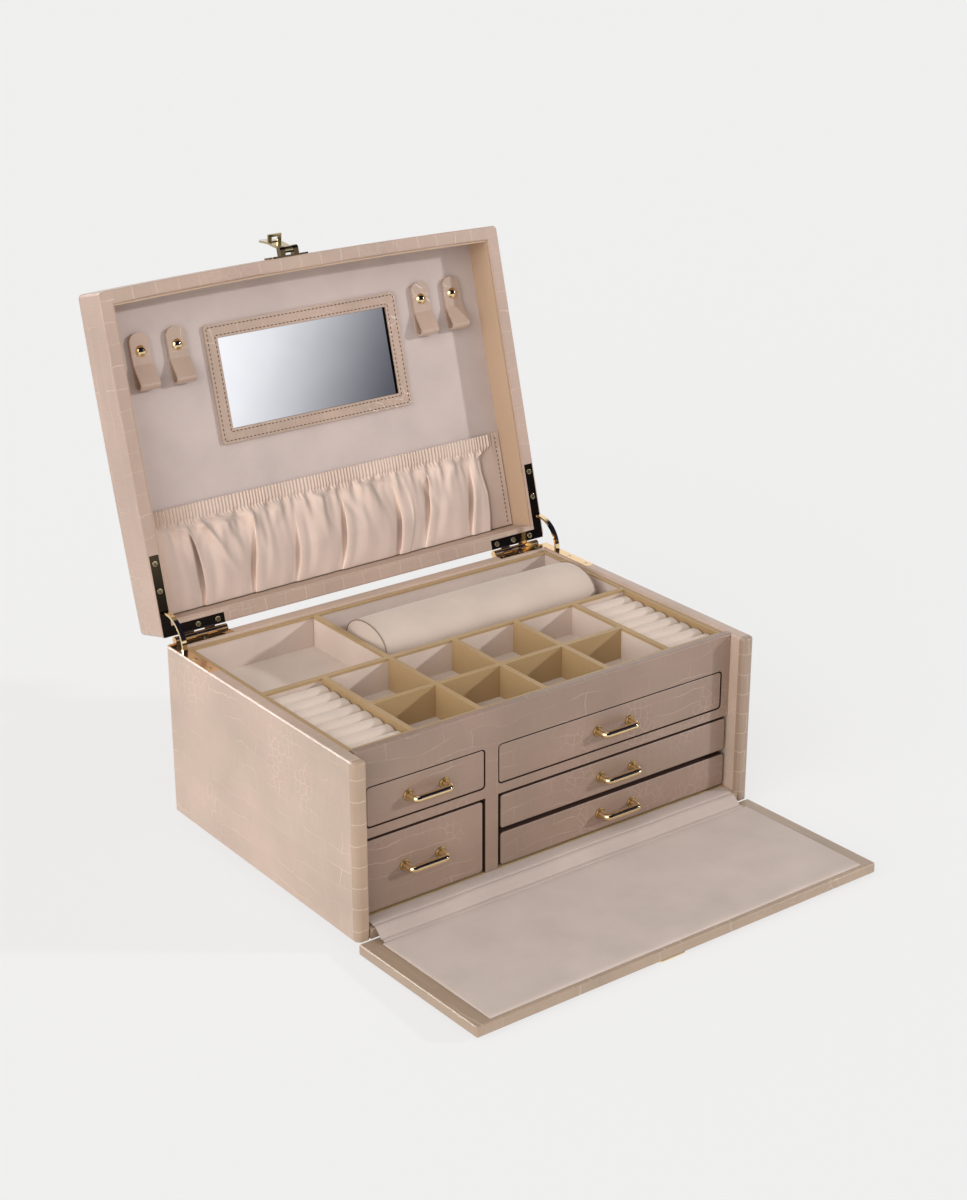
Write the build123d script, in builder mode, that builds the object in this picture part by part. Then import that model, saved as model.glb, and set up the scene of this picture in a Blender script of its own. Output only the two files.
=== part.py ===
from build123d import *
import os
from math import cos, hypot, radians, sin

os.makedirs("parts", exist_ok=True)

# A jewellery box with drawers, in millimetres, shown with its lid and front flap open.
# The origin is the middle of the plinth's underside; X is right, Y is back, Z is up.

# Carcass
box_width = 320.0
box_depth = 221.0
base_height = 120.0
wall = 9.5
corner_round = 2.5
wall_front_round = 4.0
side_rim_round = 2.2
rim_round = 1.2
plinth_height = 7.5
plinth_inset = 24.0
plinth_round = 6.0
floor_thick = 6.5
liner_thick = 1.2
cut_overrun = 5.0

# Front frame and the boards behind it
front_recess = 13.0
frame_thick = 6.0
apron_lap = 2.0
upper_opening_share = 0.32
rail_height = 6.5
left_bay_width = 96.5
column_width = 10.0
edge_stile = 6.8
opening_round = 3.0
shelf_thick = 5.0
runner_height = 1.5
runner_width = 5.5
runner_setback = 4.0
middle_drawer_share = 0.494

# Drawers
tight_gap = 0.7
loose_gap = 1.9
loose_foot_gap = 1.2
loose_head_gap = 1.7
slide_gap = 0.3
drawer_back_gap = 12.5
drawer_wall = 2.5
drawer_floor = 2.0
box_inset = 1.2
box_drop = 3.0
front_round = 2.5
front_edge_round = 1.0

# Bow handles
handle_span = 27.0
handle_reach = 8.4
handle_wire_radius = 2.3
handle_bend = 3.0
rosette_radius = 3.8
rosette_thick = 1.0
rosette_chamfer = 0.5

# Tray
tray_drop = 1.7
tray_depth = 22.0
tray_floor_thick = 2.5
lining_thick = 1.0
tray_wall = 3.0
rim_width = 3.5
rim_cap = 1.2
divider = 4.0
row_share = 0.53
grid_share = 0.486
ring_bay_width = 42.4
grid_columns = 4
joint_gap = 0.1

# Ring pads and bracelet roll
soft_gap = 0.3
ring_roll_count = 8
ring_roll_rise = 5.4
ring_pad_drop = 2.4
roll_half_width = 25.0
roll_half_height = 15.4
roll_forward = 4.2
roll_left_gap = 1.6
roll_right_gap = 4.0
roll_end_share = 0.93
roll_shoulder = 14.0

# Lid
lid_open = 105.0
lid_gap = 0.4
hinge_back = 3.2
lid_front_reach = 7.7
lid_bow = 2.4
lid_wall = 9.3
lid_wall_height = 28.0
lid_crown = 37.0
crown_rise = 5.0
lid_corner_round = 3.0
crown_round = 3.0
lid_lining_depth = 23.5
side_lining_inset = 1.5

# Mirror
mirror_width_share = 0.4875
mirror_height_share = 0.354
mirror_border = 9.5
mirror_frame_thick = 2.0
mirror_frame_round = 2.0
mirror_front_inset = 33.9
glass_thick = 1.2
glass_gap = 0.2

# Strap loops and studs
strap_side_inset = 33.0
strap_pitch = 27.5
strap_width = 14.5
strap_thick = 1.4
strap_loop_radius = 3.0
strap_front_inset = 30.7
strap_length = 38.0
strap_join = 21.0
strap_end_round = 6.0
stud_inset = 12.0
stud_radius = 4.0
stud_height = 2.2

# Gathered pocket
pocket_top_share = 0.35
pocket_fullest_share = 0.42
pocket_hem = 11.0
pocket_header = 9.0
pocket_side_gap = 0.5
header_thick = 2.4
pocket_fold_shares = (0.09, 0.12, 0.08, 0.13, 0.11, 0.09, 0.14, 0.10, 0.14)
pocket_bodies = (5.4, 6.0, 2.4)
pocket_swells = (2.0, 4.2, 2.4)

# Corner hinges
leaf_thick = 1.2
leaf_width = 6.9
leaf_margin = 1.3
leaf_side_length = 55.0
leaf_rear_length = 46.7
leaf_gap = 0.1
barrel_length = 40.0
barrel_radius = 2.5
knuckle_count = 5
knuckle_gap = 0.2
pin_radius = 1.0
pin_clearance = 0.05
screw_radius = 1.9
screw_seat = 0.6
screw_proud = 0.1
screw_gap = 0.05
side_screw_inset = 5.5
side_screw_pitch = 18.5
rear_screw_inset = 5.0
rear_screw_pitch = 15.0

# Quadrant stays
stay_radius = 20.0
stay_thick = 1.6
stay_width = 3.4
stay_head_width = 4.6
stay_head_degrees = 5.0
stay_head_start = 5.0
stay_slot_gap = 0.25
mortise_width = 5.0
mortise_front_gap = 1.4
mortise_length = 14.5
mortise_depth = 18.7

# Clasp, which sits a little left of the middle of the lid
clasp_x = -12.0
clasp_plate_width = 30.0
clasp_plate_height = 13.0
clasp_plate_thick = 1.2
clasp_plate_round = 3.0
clasp_plate_rise = 2.5
clasp_axis_rise = 6.0
clasp_axis_reach = 5.0
clasp_barrel_radius = 2.4
clasp_ear_length = 3.8
clasp_ear_gap = 0.2
hasp_knuckle_length = 6.5
hasp_pin_radius = 0.9
hasp_width = 10.5
hasp_lip_drop = 17.5
hasp_length = 30.0
hasp_tab_flare = 2.0
hasp_thick = 1.4
hasp_turn = 160.0
hasp_end_round = 2.5
hasp_slot_width = 5.0
hasp_slot_length = 2.8
hasp_lip_gap = 0.5
keeper_width = 22.0
keeper_height = 14.0
keeper_thick = 0.8
keeper_rib = 1.4
keeper_rib_height = 2.5
keeper_rib_length = 14.0
keeper_round = 3.0
keeper_latch_gap = 0.6

# Front flap
flap_open = 88.6
flap_gap = 0.3
flap_thick = 7.4
flap_edge_round = 1.5
flap_panel_side_border = 12.5
flap_panel_top_border = 6.0
flap_panel_thick = 1.3
flap_panel_start = 9.5
flap_panel_round = 0.6
strip_thick = 1.0
strip_side_gap = 3.0
strip_fall = 4.0
strip_landing = 3.4
strip_reach = 5.6

# Places that follow from the sizes
half_width = box_width / 2
side_in = half_width - wall
rear_y = box_depth / 2
rear_in = rear_y - wall
front_y = -box_depth / 2
frame_front = front_y + front_recess
frame_back = frame_front + frame_thick
wall_bottom = plinth_height
rim_z = wall_bottom + base_height
floor_top = wall_bottom + floor_thick
liner_top = floor_top + liner_thick
apron_height = tray_drop + tray_depth + lining_thick + tray_floor_thick - apron_lap
apron_bottom = rim_z - apron_height
rail_top = apron_bottom - upper_opening_share * (apron_bottom - liner_top)
rail_bottom = rail_top - rail_height
column_left = -side_in + left_bay_width
column_right = column_left + column_width
runner_top = rail_bottom - middle_drawer_share * (rail_bottom - liner_top)
runner_bottom = runner_top - runner_height
tray_top = rim_z - tray_drop
tray_base = tray_top - tray_depth
tray_floor_top = tray_base - lining_thick
tray_floor_bottom = tray_floor_top - tray_floor_thick
tray_mid_y = (frame_back + rear_in) / 2
tray_length_y = rear_in - frame_back
rim_x = side_in - rim_width
rim_front = frame_back + rim_width
rim_rear = rear_in - rim_width
row_divider_y = frame_back + row_share * tray_length_y
grid_long_y = frame_back + grid_share * (row_divider_y - frame_back)
ring_divider_x = rim_x - ring_bay_width - divider / 2
hinge_y = rear_y + hinge_back
hinge_z = rim_z + lid_gap / 2
flap_y = front_y - flap_gap
flap_height = base_height - flap_gap
leaf_outer_x = half_width - leaf_margin
leaf_rear_end_x = leaf_outer_x - leaf_rear_length
stay_x = leaf_outer_x - leaf_width / 2

# Frames in which pieces are drawn as they lie when the box is shut
hinge_frame = Plane(origin=(0, hinge_y, hinge_z))
lid_frame = hinge_frame.rotated((-lid_open, 0, 0))
flap_frame = Plane(origin=(0, flap_y, wall_bottom)).rotated((flap_open, 0, 0))
lid_rim = lid_gap / 2
lid_rear = rear_y - hinge_y
lid_front = front_y - lid_front_reach - hinge_y
lid_length = lid_rear - lid_front


def from_rear(distance):
    """Local Y in the lid of a place measured forward from its rear edge."""
    return lid_rear - distance


def from_front(distance):
    """Local Y in the lid of a place measured back from its front edge."""
    return lid_front + distance


def facing_front(frame, depth):
    """Plane at a local Y of the frame that faces the front, with local X and Z as its axes."""
    return Plane(frame.from_local_coords(Vector(0, depth, 0)), frame.x_dir, -frame.y_dir)


def facing_right(frame, across):
    """Plane at a local X of the frame that faces right, with local Y and Z as its axes."""
    return Plane(frame.from_local_coords(Vector(across, 0, 0)), frame.y_dir, frame.x_dir)


def slab(low, high, mode=Mode.ADD):
    """Board between two opposite corners, added to the piece or cut from it."""
    middle = [(a + b) / 2 for a, b in zip(low, high)]
    with Locations(tuple(middle)):
        Box(*[b - a for a, b in zip(low, high)], mode=mode)


def keep(piece, name):
    """Label a finished piece and write it to its own file."""
    piece.part.label = name
    export_step(piece.part, f"parts/{name}.step")


def leaf_face(side, grow=0, open_rear=0):
    """L-shaped outline of a hinge leaf in local X and Y of the hinge frame."""
    side_front = lid_rear - leaf_side_length - grow
    corners = [
        (leaf_outer_x + grow, lid_rear + open_rear),
        (leaf_outer_x + grow, side_front),
        (leaf_outer_x - leaf_width - grow, side_front),
        (leaf_outer_x - leaf_width - grow, lid_rear - leaf_width - grow),
        (leaf_rear_end_x - grow, lid_rear - leaf_width - grow),
        (leaf_rear_end_x - grow, lid_rear + open_rear),
    ]
    with BuildSketch(mode=Mode.PRIVATE) as outline:
        with BuildLine():
            Polyline([(side * x, y) for x, y in corners], close=True)
        make_face()
    return outline.sketch


def leaf_screw_places(side):
    """Screw centres on one hinge leaf, in local X and Y of the hinge frame."""
    side_end = lid_rear - leaf_side_length + side_screw_inset
    rear_end = leaf_rear_end_x + rear_screw_inset
    on_side = [(stay_x, side_end + n * side_screw_pitch) for n in range(2)]
    on_rear = [(rear_end + n * rear_screw_pitch, lid_rear - leaf_width / 2) for n in range(3)]
    return [(side * x, y) for x, y in on_side + on_rear]


def cut_hinge_seat(frame, side, up):
    """Cut the seat of a hinge leaf and the mortise of its stay into the board being built."""
    face_z = up * lid_rim
    seat = leaf_face(side, leaf_gap, cut_overrun)
    seat_plane = frame.offset(face_z + up * leaf_thick)
    extrude(seat_plane * seat, amount=leaf_thick + cut_overrun, dir=-up * frame.z_dir, mode=Mode.SUBTRACT)
    front = -stay_radius - stay_thick / 2 - mortise_front_gap
    ends = sorted((face_z, face_z + up * mortise_depth))
    slab(
        (side * stay_x - mortise_width / 2, front, ends[0]),
        (side * stay_x + mortise_width / 2, front + mortise_length, ends[1]),
        Mode.SUBTRACT,
    )


# Plinth, set in under the carcass
with BuildPart() as plinth:
    with BuildSketch():
        RectangleRounded(box_width - 2 * plinth_inset, box_depth - 2 * plinth_inset, plinth_round)
    extrude(amount=plinth_height)
keep(plinth, "plinth")

# Base panel, with the ledge that shows in front of the drawers
with BuildPart() as base_panel:
    slab((-side_in, front_y, wall_bottom), (side_in, rear_in, floor_top))
keep(base_panel, "base_panel")

# Side panels with the seats of the corner hinges
for side, name in ((-1, "left_side_panel"), (1, "right_side_panel")):
    with BuildPart(hinge_frame) as side_panel:
        inner, outer = sorted((side * side_in, side * half_width))
        low, high = wall_bottom - hinge_z, rim_z - hinge_z
        slab((inner, front_y - hinge_y, low), (outer, rear_y - hinge_y, high))
        uprights = side_panel.edges().filter_by(Axis.Z).sort_by(Axis.X, reverse=side > 0)
        front_edge, rear_edge = uprights[:2].sort_by(Axis.Y)
        fillet(rear_edge, radius=corner_round)
        fillet(uprights[2:].sort_by(Axis.Y)[0], radius=corner_round)
        fillet(front_edge, radius=wall_front_round)
        top_face = side_panel.faces().sort_by(Axis.Z)[-1]
        fillet(top_face.edges(), radius=side_rim_round)
        cut_hinge_seat(hinge_frame, side, -1)
    keep(side_panel, name)

# Rear panel
with BuildPart(hinge_frame) as rear_panel:
    low, high = wall_bottom - hinge_z, rim_z - hinge_z
    slab((-side_in, rear_in - hinge_y, low), (side_in, rear_y - hinge_y, high))
    top_face = rear_panel.faces().sort_by(Axis.Z)[-1]
    fillet(top_face.edges().filter_by(Axis.X), radius=rim_round)
    for side in (-1, 1):
        seat_face = hinge_frame.offset(-lid_rim - leaf_thick) * leaf_face(side, leaf_gap, cut_overrun)
        extrude(seat_face, amount=leaf_thick + cut_overrun, dir=(0, 0, 1), mode=Mode.SUBTRACT)
keep(rear_panel, "rear_panel")

# Drawer openings as left, right, bottom and top, and the gaps beside, under and over each drawer front
openings = {
    "upper_left": (-side_in + edge_stile, column_left, rail_top, apron_bottom),
    "lower_left": (-side_in, column_left, liner_top, rail_bottom),
    "upper_right": (column_right, side_in - edge_stile, rail_top, apron_bottom),
    "middle_right": (column_right, side_in, runner_top, rail_bottom),
    "lower_right": (column_right, side_in, liner_top, runner_bottom),
}
front_gaps = {
    "upper_left": (tight_gap, tight_gap, tight_gap),
    "lower_left": (loose_gap, loose_foot_gap, loose_head_gap),
    "upper_right": (tight_gap, tight_gap, tight_gap),
    "middle_right": (loose_gap, tight_gap, loose_head_gap),
    "lower_right": (loose_gap, loose_foot_gap, tight_gap),
}

# Front frame: apron, rail, edge stiles and the centre stile down to the floor
with BuildPart() as front_frame:
    with BuildSketch(facing_front(Plane.XY, frame_back)) as frame_outline:
        with Locations((0, (rail_bottom + rim_z) / 2)):
            Rectangle(2 * side_in, rim_z - rail_bottom)
        with Locations(((column_left + column_right) / 2, (floor_top + apron_bottom) / 2)):
            Rectangle(column_width, apron_bottom - floor_top)
        for name in ("upper_left", "upper_right"):
            left, right, low, high = openings[name]
            with Locations(((left + right) / 2, (low + high) / 2)):
                RectangleRounded(right - left, high - low, opening_round, mode=Mode.SUBTRACT)
    extrude(amount=frame_thick)
    top_edges = front_frame.faces().sort_by(Axis.Z)[-1].edges().filter_by(Axis.X)
    fillet(top_edges, radius=rim_round)
keep(front_frame, "front_frame")

# Column partition, shelves, runners and the liner of the lower bays
with BuildPart() as column_partition:
    slab((column_left, frame_back, floor_top), (column_right, rear_in, tray_floor_bottom))
keep(column_partition, "column_partition")

with BuildPart() as drawer_shelves:
    for left, right in ((-side_in, column_left), (column_right, side_in)):
        slab((left, frame_back, rail_top - shelf_thick), (right, rear_in, rail_top))
keep(drawer_shelves, "drawer_shelves")

with BuildPart() as drawer_runners:
    for left in (column_right, side_in - runner_width):
        slab(
            (left, frame_back + runner_setback, runner_bottom),
            (left + runner_width, rear_in, runner_top),
        )
keep(drawer_runners, "drawer_runners")

with BuildPart() as bay_liner:
    for left, right in ((-side_in, column_left), (column_right, side_in)):
        slab((left, frame_front, floor_top), (right, rear_in, liner_top))
keep(bay_liner, "bay_liner")


def make_drawer(name):
    """Front, open box and bow handle of one drawer."""
    left, right, low, high = openings[name]
    gap, foot_gap, head_gap = front_gaps[name]
    width = right - left - 2 * gap
    height = high - low - foot_gap - head_gap
    middle = ((left + right) / 2, (low + foot_gap + high - head_gap) / 2)

    with BuildPart() as front:
        with BuildSketch(facing_front(Plane.XY, frame_back)):
            with Locations(middle):
                RectangleRounded(width, height, front_round)
        extrude(amount=frame_thick)
        fillet(front.faces().sort_by(Axis.Y)[0].edges(), radius=front_edge_round)
    keep(front, f"{name}_drawer_front")

    box_left, box_right = left + gap + box_inset, right - gap - box_inset
    box_low, box_high = low + slide_gap, high - head_gap - box_drop
    box_back = rear_in - drawer_back_gap
    with BuildPart() as box:
        slab((box_left, frame_back, box_low), (box_right, box_back, box_high))
        slab(
            (box_left + drawer_wall, frame_back + drawer_wall, box_low + drawer_floor),
            (box_right - drawer_wall, box_back - drawer_wall, box_high + cut_overrun),
            Mode.SUBTRACT,
        )
    keep(box, f"{name}_drawer_box")

    with BuildPart() as handle:
        bar_y = frame_front - handle_reach
        posts = [middle[0] - handle_span / 2, middle[0] + handle_span / 2]
        with BuildLine(Plane.XY.offset(middle[1])) as bow:
            FilletPolyline(
                (posts[0], frame_front), (posts[0], bar_y), (posts[1], bar_y), (posts[1], frame_front),
                radius=handle_bend,
            )
        with BuildSketch(Plane(origin=bow.line @ 0, z_dir=bow.line % 0)):
            Circle(handle_wire_radius)
        sweep()
        with BuildSketch(facing_front(Plane.XY, frame_front)):
            with Locations(*[(x, middle[1]) for x in posts]):
                Circle(rosette_radius)
        extrude(amount=rosette_thick)
        rims = handle.edges().filter_by(GeomType.CIRCLE)
        rims = [e for e in rims if e.radius > rosette_radius - rosette_chamfer]
        chamfer([e for e in rims if e.center().Y < frame_front - rosette_thick / 2], length=rosette_chamfer)
    keep(handle, f"{name}_drawer_handle")


for drawer_name in openings:
    make_drawer(drawer_name)

# Tray: floor board, velvet bottom, walls and capping
with BuildPart() as tray_floor:
    slab((-side_in, frame_back, tray_floor_bottom), (side_in, rear_in, tray_floor_top))
keep(tray_floor, "tray_floor")


def tray_ring(ring_width):
    """Flat ring that follows the inside of the box top."""
    with BuildSketch(mode=Mode.PRIVATE) as ring:
        with Locations((0, tray_mid_y)):
            Rectangle(2 * side_in, tray_length_y)
            Rectangle(2 * (side_in - ring_width), tray_length_y - 2 * ring_width, mode=Mode.SUBTRACT)
    return ring.sketch


with BuildPart() as tray_lining:
    slab(
        (tray_wall - side_in, frame_back + tray_wall, tray_floor_top),
        (side_in - tray_wall, rear_in - tray_wall, tray_base),
    )
keep(tray_lining, "tray_lining")

with BuildPart() as tray_walls:
    extrude(Plane.XY.offset(tray_floor_top) * tray_ring(tray_wall), amount=tray_top - rim_cap - tray_floor_top)
keep(tray_walls, "tray_walls")

with BuildPart() as tray_rim:
    extrude(Plane.XY.offset(tray_top - rim_cap) * tray_ring(rim_width), amount=rim_cap)
keep(tray_rim, "tray_rim")

# Dividers, the grid ones halved into each other
row_front, row_rear = row_divider_y - divider / 2, row_divider_y + divider / 2
ring_in, ring_out = ring_divider_x - divider / 2, ring_divider_x + divider / 2
half_joint = divider / 2 + joint_gap
grid_mid_z = (tray_base + tray_top) / 2
cross_pitch = 2 * ring_divider_x / grid_columns
cross_places = [-ring_divider_x + n * cross_pitch for n in range(1, grid_columns)]
rear_bay_divider_x = cross_places[0]

with BuildPart() as row_divider:
    slab((-rim_x, row_front, tray_base), (rim_x, row_rear, tray_top))
keep(row_divider, "row_divider")

with BuildPart() as rear_bay_divider:
    slab(
        (rear_bay_divider_x - divider / 2, row_rear, tray_base),
        (rear_bay_divider_x + divider / 2, rim_rear, tray_top),
    )
keep(rear_bay_divider, "rear_bay_divider")

with BuildPart() as ring_dividers:
    for left in (-ring_out, ring_in):
        slab((left, rim_front, tray_base), (left + divider, row_front, tray_top))
keep(ring_dividers, "ring_dividers")

with BuildPart() as grid_long_divider:
    slab(
        (-ring_in, grid_long_y - divider / 2, tray_base),
        (ring_in, grid_long_y + divider / 2, tray_top),
    )
    for place in cross_places:
        slab(
            (place - half_joint, grid_long_y - divider, tray_base),
            (place + half_joint, grid_long_y + divider, grid_mid_z + joint_gap),
            Mode.SUBTRACT,
        )
keep(grid_long_divider, "grid_long_divider")

with BuildPart() as grid_cross_dividers:
    for place in cross_places:
        slab((place - divider / 2, rim_front, tray_base), (place + divider / 2, row_front, tray_top))
        slab(
            (place - divider, grid_long_y - half_joint, grid_mid_z),
            (place + divider, grid_long_y + half_joint, tray_top),
            Mode.SUBTRACT,
        )
keep(grid_cross_dividers, "grid_cross_dividers")

# Ring pads: a row of soft rolls with a channel between each two
pad_front, pad_rear = rim_front + soft_gap, row_front - soft_gap
pad_bottom = tray_base + soft_gap
pad_shoulder = tray_top - ring_pad_drop - ring_roll_rise
pad_width = rim_x - ring_out - 2 * soft_gap
ring_roll_pitch = (pad_rear - pad_front) / ring_roll_count
for left, name in ((soft_gap - rim_x, "left_ring_pad"), (ring_out + soft_gap, "right_ring_pad")):
    with BuildPart() as ring_pad:
        with BuildSketch(facing_right(Plane.XY, left)):
            with BuildLine():
                Line((pad_front, pad_bottom), (pad_front, pad_shoulder))
                for n in range(ring_roll_count):
                    start = pad_front + n * ring_roll_pitch
                    ThreePointArc(
                        (start, pad_shoulder),
                        (start + ring_roll_pitch / 2, pad_shoulder + ring_roll_rise),
                        (start + ring_roll_pitch, pad_shoulder),
                    )
                Line((pad_rear, pad_shoulder), (pad_rear, pad_bottom))
                Line((pad_rear, pad_bottom), (pad_front, pad_bottom))
            make_face()
        extrude(amount=pad_width)
    keep(ring_pad, name)

# Bracelet roll: an oval pillow, fuller in the middle than at its ends
roll_left = rear_bay_divider_x + divider / 2 + roll_left_gap
roll_right = rim_x - roll_right_gap
roll_y = (row_rear + rim_rear) / 2 - roll_forward
roll_z = tray_base + soft_gap + roll_half_height
roll_stations = (
    (roll_left, roll_end_share),
    (roll_left + roll_shoulder, 1),
    (roll_right - roll_shoulder, 1),
    (roll_right, roll_end_share),
)
with BuildPart() as bracelet_roll:
    for across, share in roll_stations:
        with BuildSketch(facing_right(Plane.XY, across)):
            wide, tall = share * roll_half_width, share * roll_half_height
            slant_y, slant_z = wide * cos(radians(45)), tall * sin(radians(45))
            rim = [(wide, 0), (slant_y, slant_z), (0, tall), (-slant_y, slant_z)]
            rim += [(-y, -z) for y, z in rim]
            rim = [(roll_y + y, roll_z + z) for y, z in rim]
            with BuildLine():
                for n in (7, 1, 3, 5):
                    ThreePointArc(rim[n], rim[(n + 1) % 8], rim[(n + 2) % 8])
            make_face()
    loft(ruled=True)
keep(bracelet_roll, "bracelet_roll")


def lid_outline(inset, rounding=0):
    """Plan of the lid in local X and Y: straight sides and back, front bowed outwards."""
    across, back, front = half_width - inset, lid_rear - inset, lid_front + inset
    with BuildSketch(mode=Mode.PRIVATE) as outline:
        with BuildLine():
            ThreePointArc((-across, front), (0, front - lid_bow), (across, front))
            Polyline((across, front), (across, back), (-across, back), (-across, front))
        make_face()
        if rounding:
            fillet(outline.vertices(), radius=rounding)
    return outline.sketch


# Lid walls with the seats of the corner hinges
with BuildPart(lid_frame) as lid_walls:
    extrude(lid_frame.offset(lid_rim) * lid_outline(0, lid_corner_round), amount=lid_wall_height)
    extrude(
        lid_frame.offset(lid_rim) * lid_outline(lid_wall), amount=lid_wall_height, mode=Mode.SUBTRACT
    )
    rim_edges = lid_walls.faces().filter_by(lid_frame).sort_by(Axis(lid_frame.origin, lid_frame.z_dir))[0]
    fillet(rim_edges.edges(), radius=rim_round)
    for side in (-1, 1):
        cut_hinge_seat(lid_frame, side, 1)
keep(lid_walls, "lid_walls")

# Lid top, crowned like a shallow dome
lid_mid_y = (lid_front + lid_rear) / 2
lid_half_diagonal = hypot(half_width, (lid_rear - lid_front) / 2)
crown_radius = (lid_half_diagonal**2 + crown_rise**2) / (2 * crown_rise)
with BuildPart(lid_frame) as lid_top:
    top_base = lid_frame.offset(lid_rim + lid_wall_height)
    extrude(top_base * lid_outline(0, lid_corner_round), amount=lid_crown)
    with Locations((0, lid_mid_y, lid_rim + lid_crown - crown_radius)):
        Sphere(crown_radius, rotation=(90, 0, 0), mode=Mode.INTERSECT)
    crown_face = lid_top.faces().sort_by(Axis(lid_frame.origin, lid_frame.z_dir))[-1]
    fillet(crown_face.edges(), radius=crown_round)
keep(lid_top, "lid_top")

# Lid linings
with BuildPart() as lid_lining:
    lining_height = lid_wall_height - lid_lining_depth
    extrude(lid_frame.offset(lid_rim + lid_lining_depth) * lid_outline(lid_wall), amount=lining_height)
keep(lid_lining, "lid_lining")

with BuildPart() as lid_side_lining:
    ring_plane = lid_frame.offset(lid_rim + side_lining_inset)
    ring_height = lid_lining_depth - side_lining_inset
    extrude(ring_plane * lid_outline(lid_wall), amount=ring_height)
    extrude(ring_plane * lid_outline(lid_wall + lining_thick), amount=ring_height, mode=Mode.SUBTRACT)
keep(lid_side_lining, "lid_side_lining")

# Mirror in its stitched leather frame
lining_z = lid_rim + lid_lining_depth
mirror_frame_width = mirror_width_share * box_width
mirror_frame_height = mirror_height_share * lid_length
glass_width = mirror_frame_width - 2 * mirror_border
glass_height = mirror_frame_height - 2 * mirror_border
mirror_place = (0, from_front(mirror_front_inset + mirror_frame_height / 2))
with BuildPart() as mirror_frame:
    with BuildSketch(lid_frame.offset(lining_z - mirror_frame_thick)):
        with Locations(mirror_place):
            RectangleRounded(mirror_frame_width, mirror_frame_height, mirror_frame_round)
            Rectangle(glass_width, glass_height, mode=Mode.SUBTRACT)
    extrude(amount=mirror_frame_thick)
keep(mirror_frame, "mirror_frame")

with BuildPart() as mirror_glass:
    with BuildSketch(lid_frame.offset(lining_z - glass_thick)):
        with Locations(mirror_place):
            Rectangle(glass_width - 2 * glass_gap, glass_height - 2 * glass_gap)
    extrude(amount=glass_thick)
keep(mirror_glass, "mirror_glass")

# Strap loops: a band doubled back on itself, with a round eye at the bottom
strap_outer = half_width - strap_side_inset
strap_inner = strap_outer - strap_pitch
strap_places = (-strap_outer, -strap_inner, strap_inner, strap_outer)
strap_top_y = from_front(strap_front_inset)
strap_join_y = from_front(strap_front_inset + strap_join)
strap_face = lining_z - 2 * strap_thick
eye_z = lining_z - strap_thick - strap_loop_radius
loop_out = strap_loop_radius + strap_thick
eye_y = from_front(strap_front_inset + strap_length - loop_out)
with BuildPart() as strap_loops:
    for across in strap_places:
        with BuildSketch(facing_right(lid_frame, across - strap_width / 2)):
            with BuildLine():
                ThreePointArc((eye_y, lining_z), (eye_y + loop_out, eye_z), (eye_y, eye_z - loop_out))
                Polyline(
                    (eye_y, eye_z - loop_out),
                    (strap_join_y, strap_face),
                    (strap_top_y, strap_face),
                    (strap_top_y, lining_z),
                    (eye_y, lining_z),
                )
            make_face()
            with BuildLine():
                inner_z = lining_z - strap_thick
                ThreePointArc(
                    (eye_y, inner_z), (eye_y + strap_loop_radius, eye_z), (eye_y, eye_z - strap_loop_radius)
                )
                Polyline(
                    (eye_y, eye_z - strap_loop_radius), (strap_join_y, inner_z), (eye_y, inner_z)
                )
            make_face(mode=Mode.SUBTRACT)
        extrude(amount=strap_width)
    strap_ends = strap_loops.faces().group_by(Axis(lid_frame.origin, lid_frame.y_dir))[0]
    fillet(strap_ends.edges().filter_by(Axis(lid_frame.origin, lid_frame.z_dir)), radius=strap_end_round)
keep(strap_loops, "strap_loops")

stud_y = from_front(strap_front_inset + stud_inset)
with BuildPart() as strap_studs:
    for across in strap_places:
        with BuildSketch(facing_right(lid_frame, across)):
            with BuildLine():
                crown = (stud_y, strap_face - stud_height)
                TangentArc(crown, (stud_y + stud_radius, strap_face), tangent=(1, 0))
                Polyline((stud_y + stud_radius, strap_face), (stud_y, strap_face), crown)
            make_face()
        stud_foot = lid_frame.from_local_coords(Vector(across, stud_y, strap_face))
        revolve(axis=Axis(stud_foot, lid_frame.z_dir))
keep(strap_studs, "strap_studs")

# Gathered pocket: soft folds that swell between an elastic header and a flat hem
pocket_half = half_width - lid_wall - lining_thick - pocket_side_gap
pocket_back = lining_z - soft_gap
pocket_top = pocket_top_share * lid_length
pocket_fullest = pocket_hem + pocket_fullest_share * (pocket_top - pocket_header - pocket_hem)
pocket_stations = (pocket_hem, pocket_fullest, pocket_top - pocket_header)
with BuildPart() as lid_pocket:
    for station, body, swell in zip(pocket_stations, pocket_bodies, pocket_swells):
        with BuildSketch(facing_front(lid_frame, from_rear(station))):
            with BuildLine():
                Line((-pocket_half, pocket_back), (-pocket_half, pocket_back - body))
                start = -pocket_half
                for share in pocket_fold_shares:
                    end = start + share * 2 * pocket_half
                    middle = (start + end) / 2
                    ThreePointArc(
                        (start, pocket_back - body),
                        (middle, pocket_back - body - swell),
                        (end, pocket_back - body),
                    )
                    start = end
                Line((start, pocket_back - body), (start, pocket_back))
                Line((start, pocket_back), (-pocket_half, pocket_back))
            make_face()
    loft(ruled=True)
    with BuildSketch(facing_front(lid_frame, from_rear(pocket_top - pocket_header))):
        with Locations((0, pocket_back - header_thick / 2)):
            Rectangle(2 * pocket_half, header_thick)
    extrude(amount=pocket_header)
keep(lid_pocket, "lid_pocket")


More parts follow.
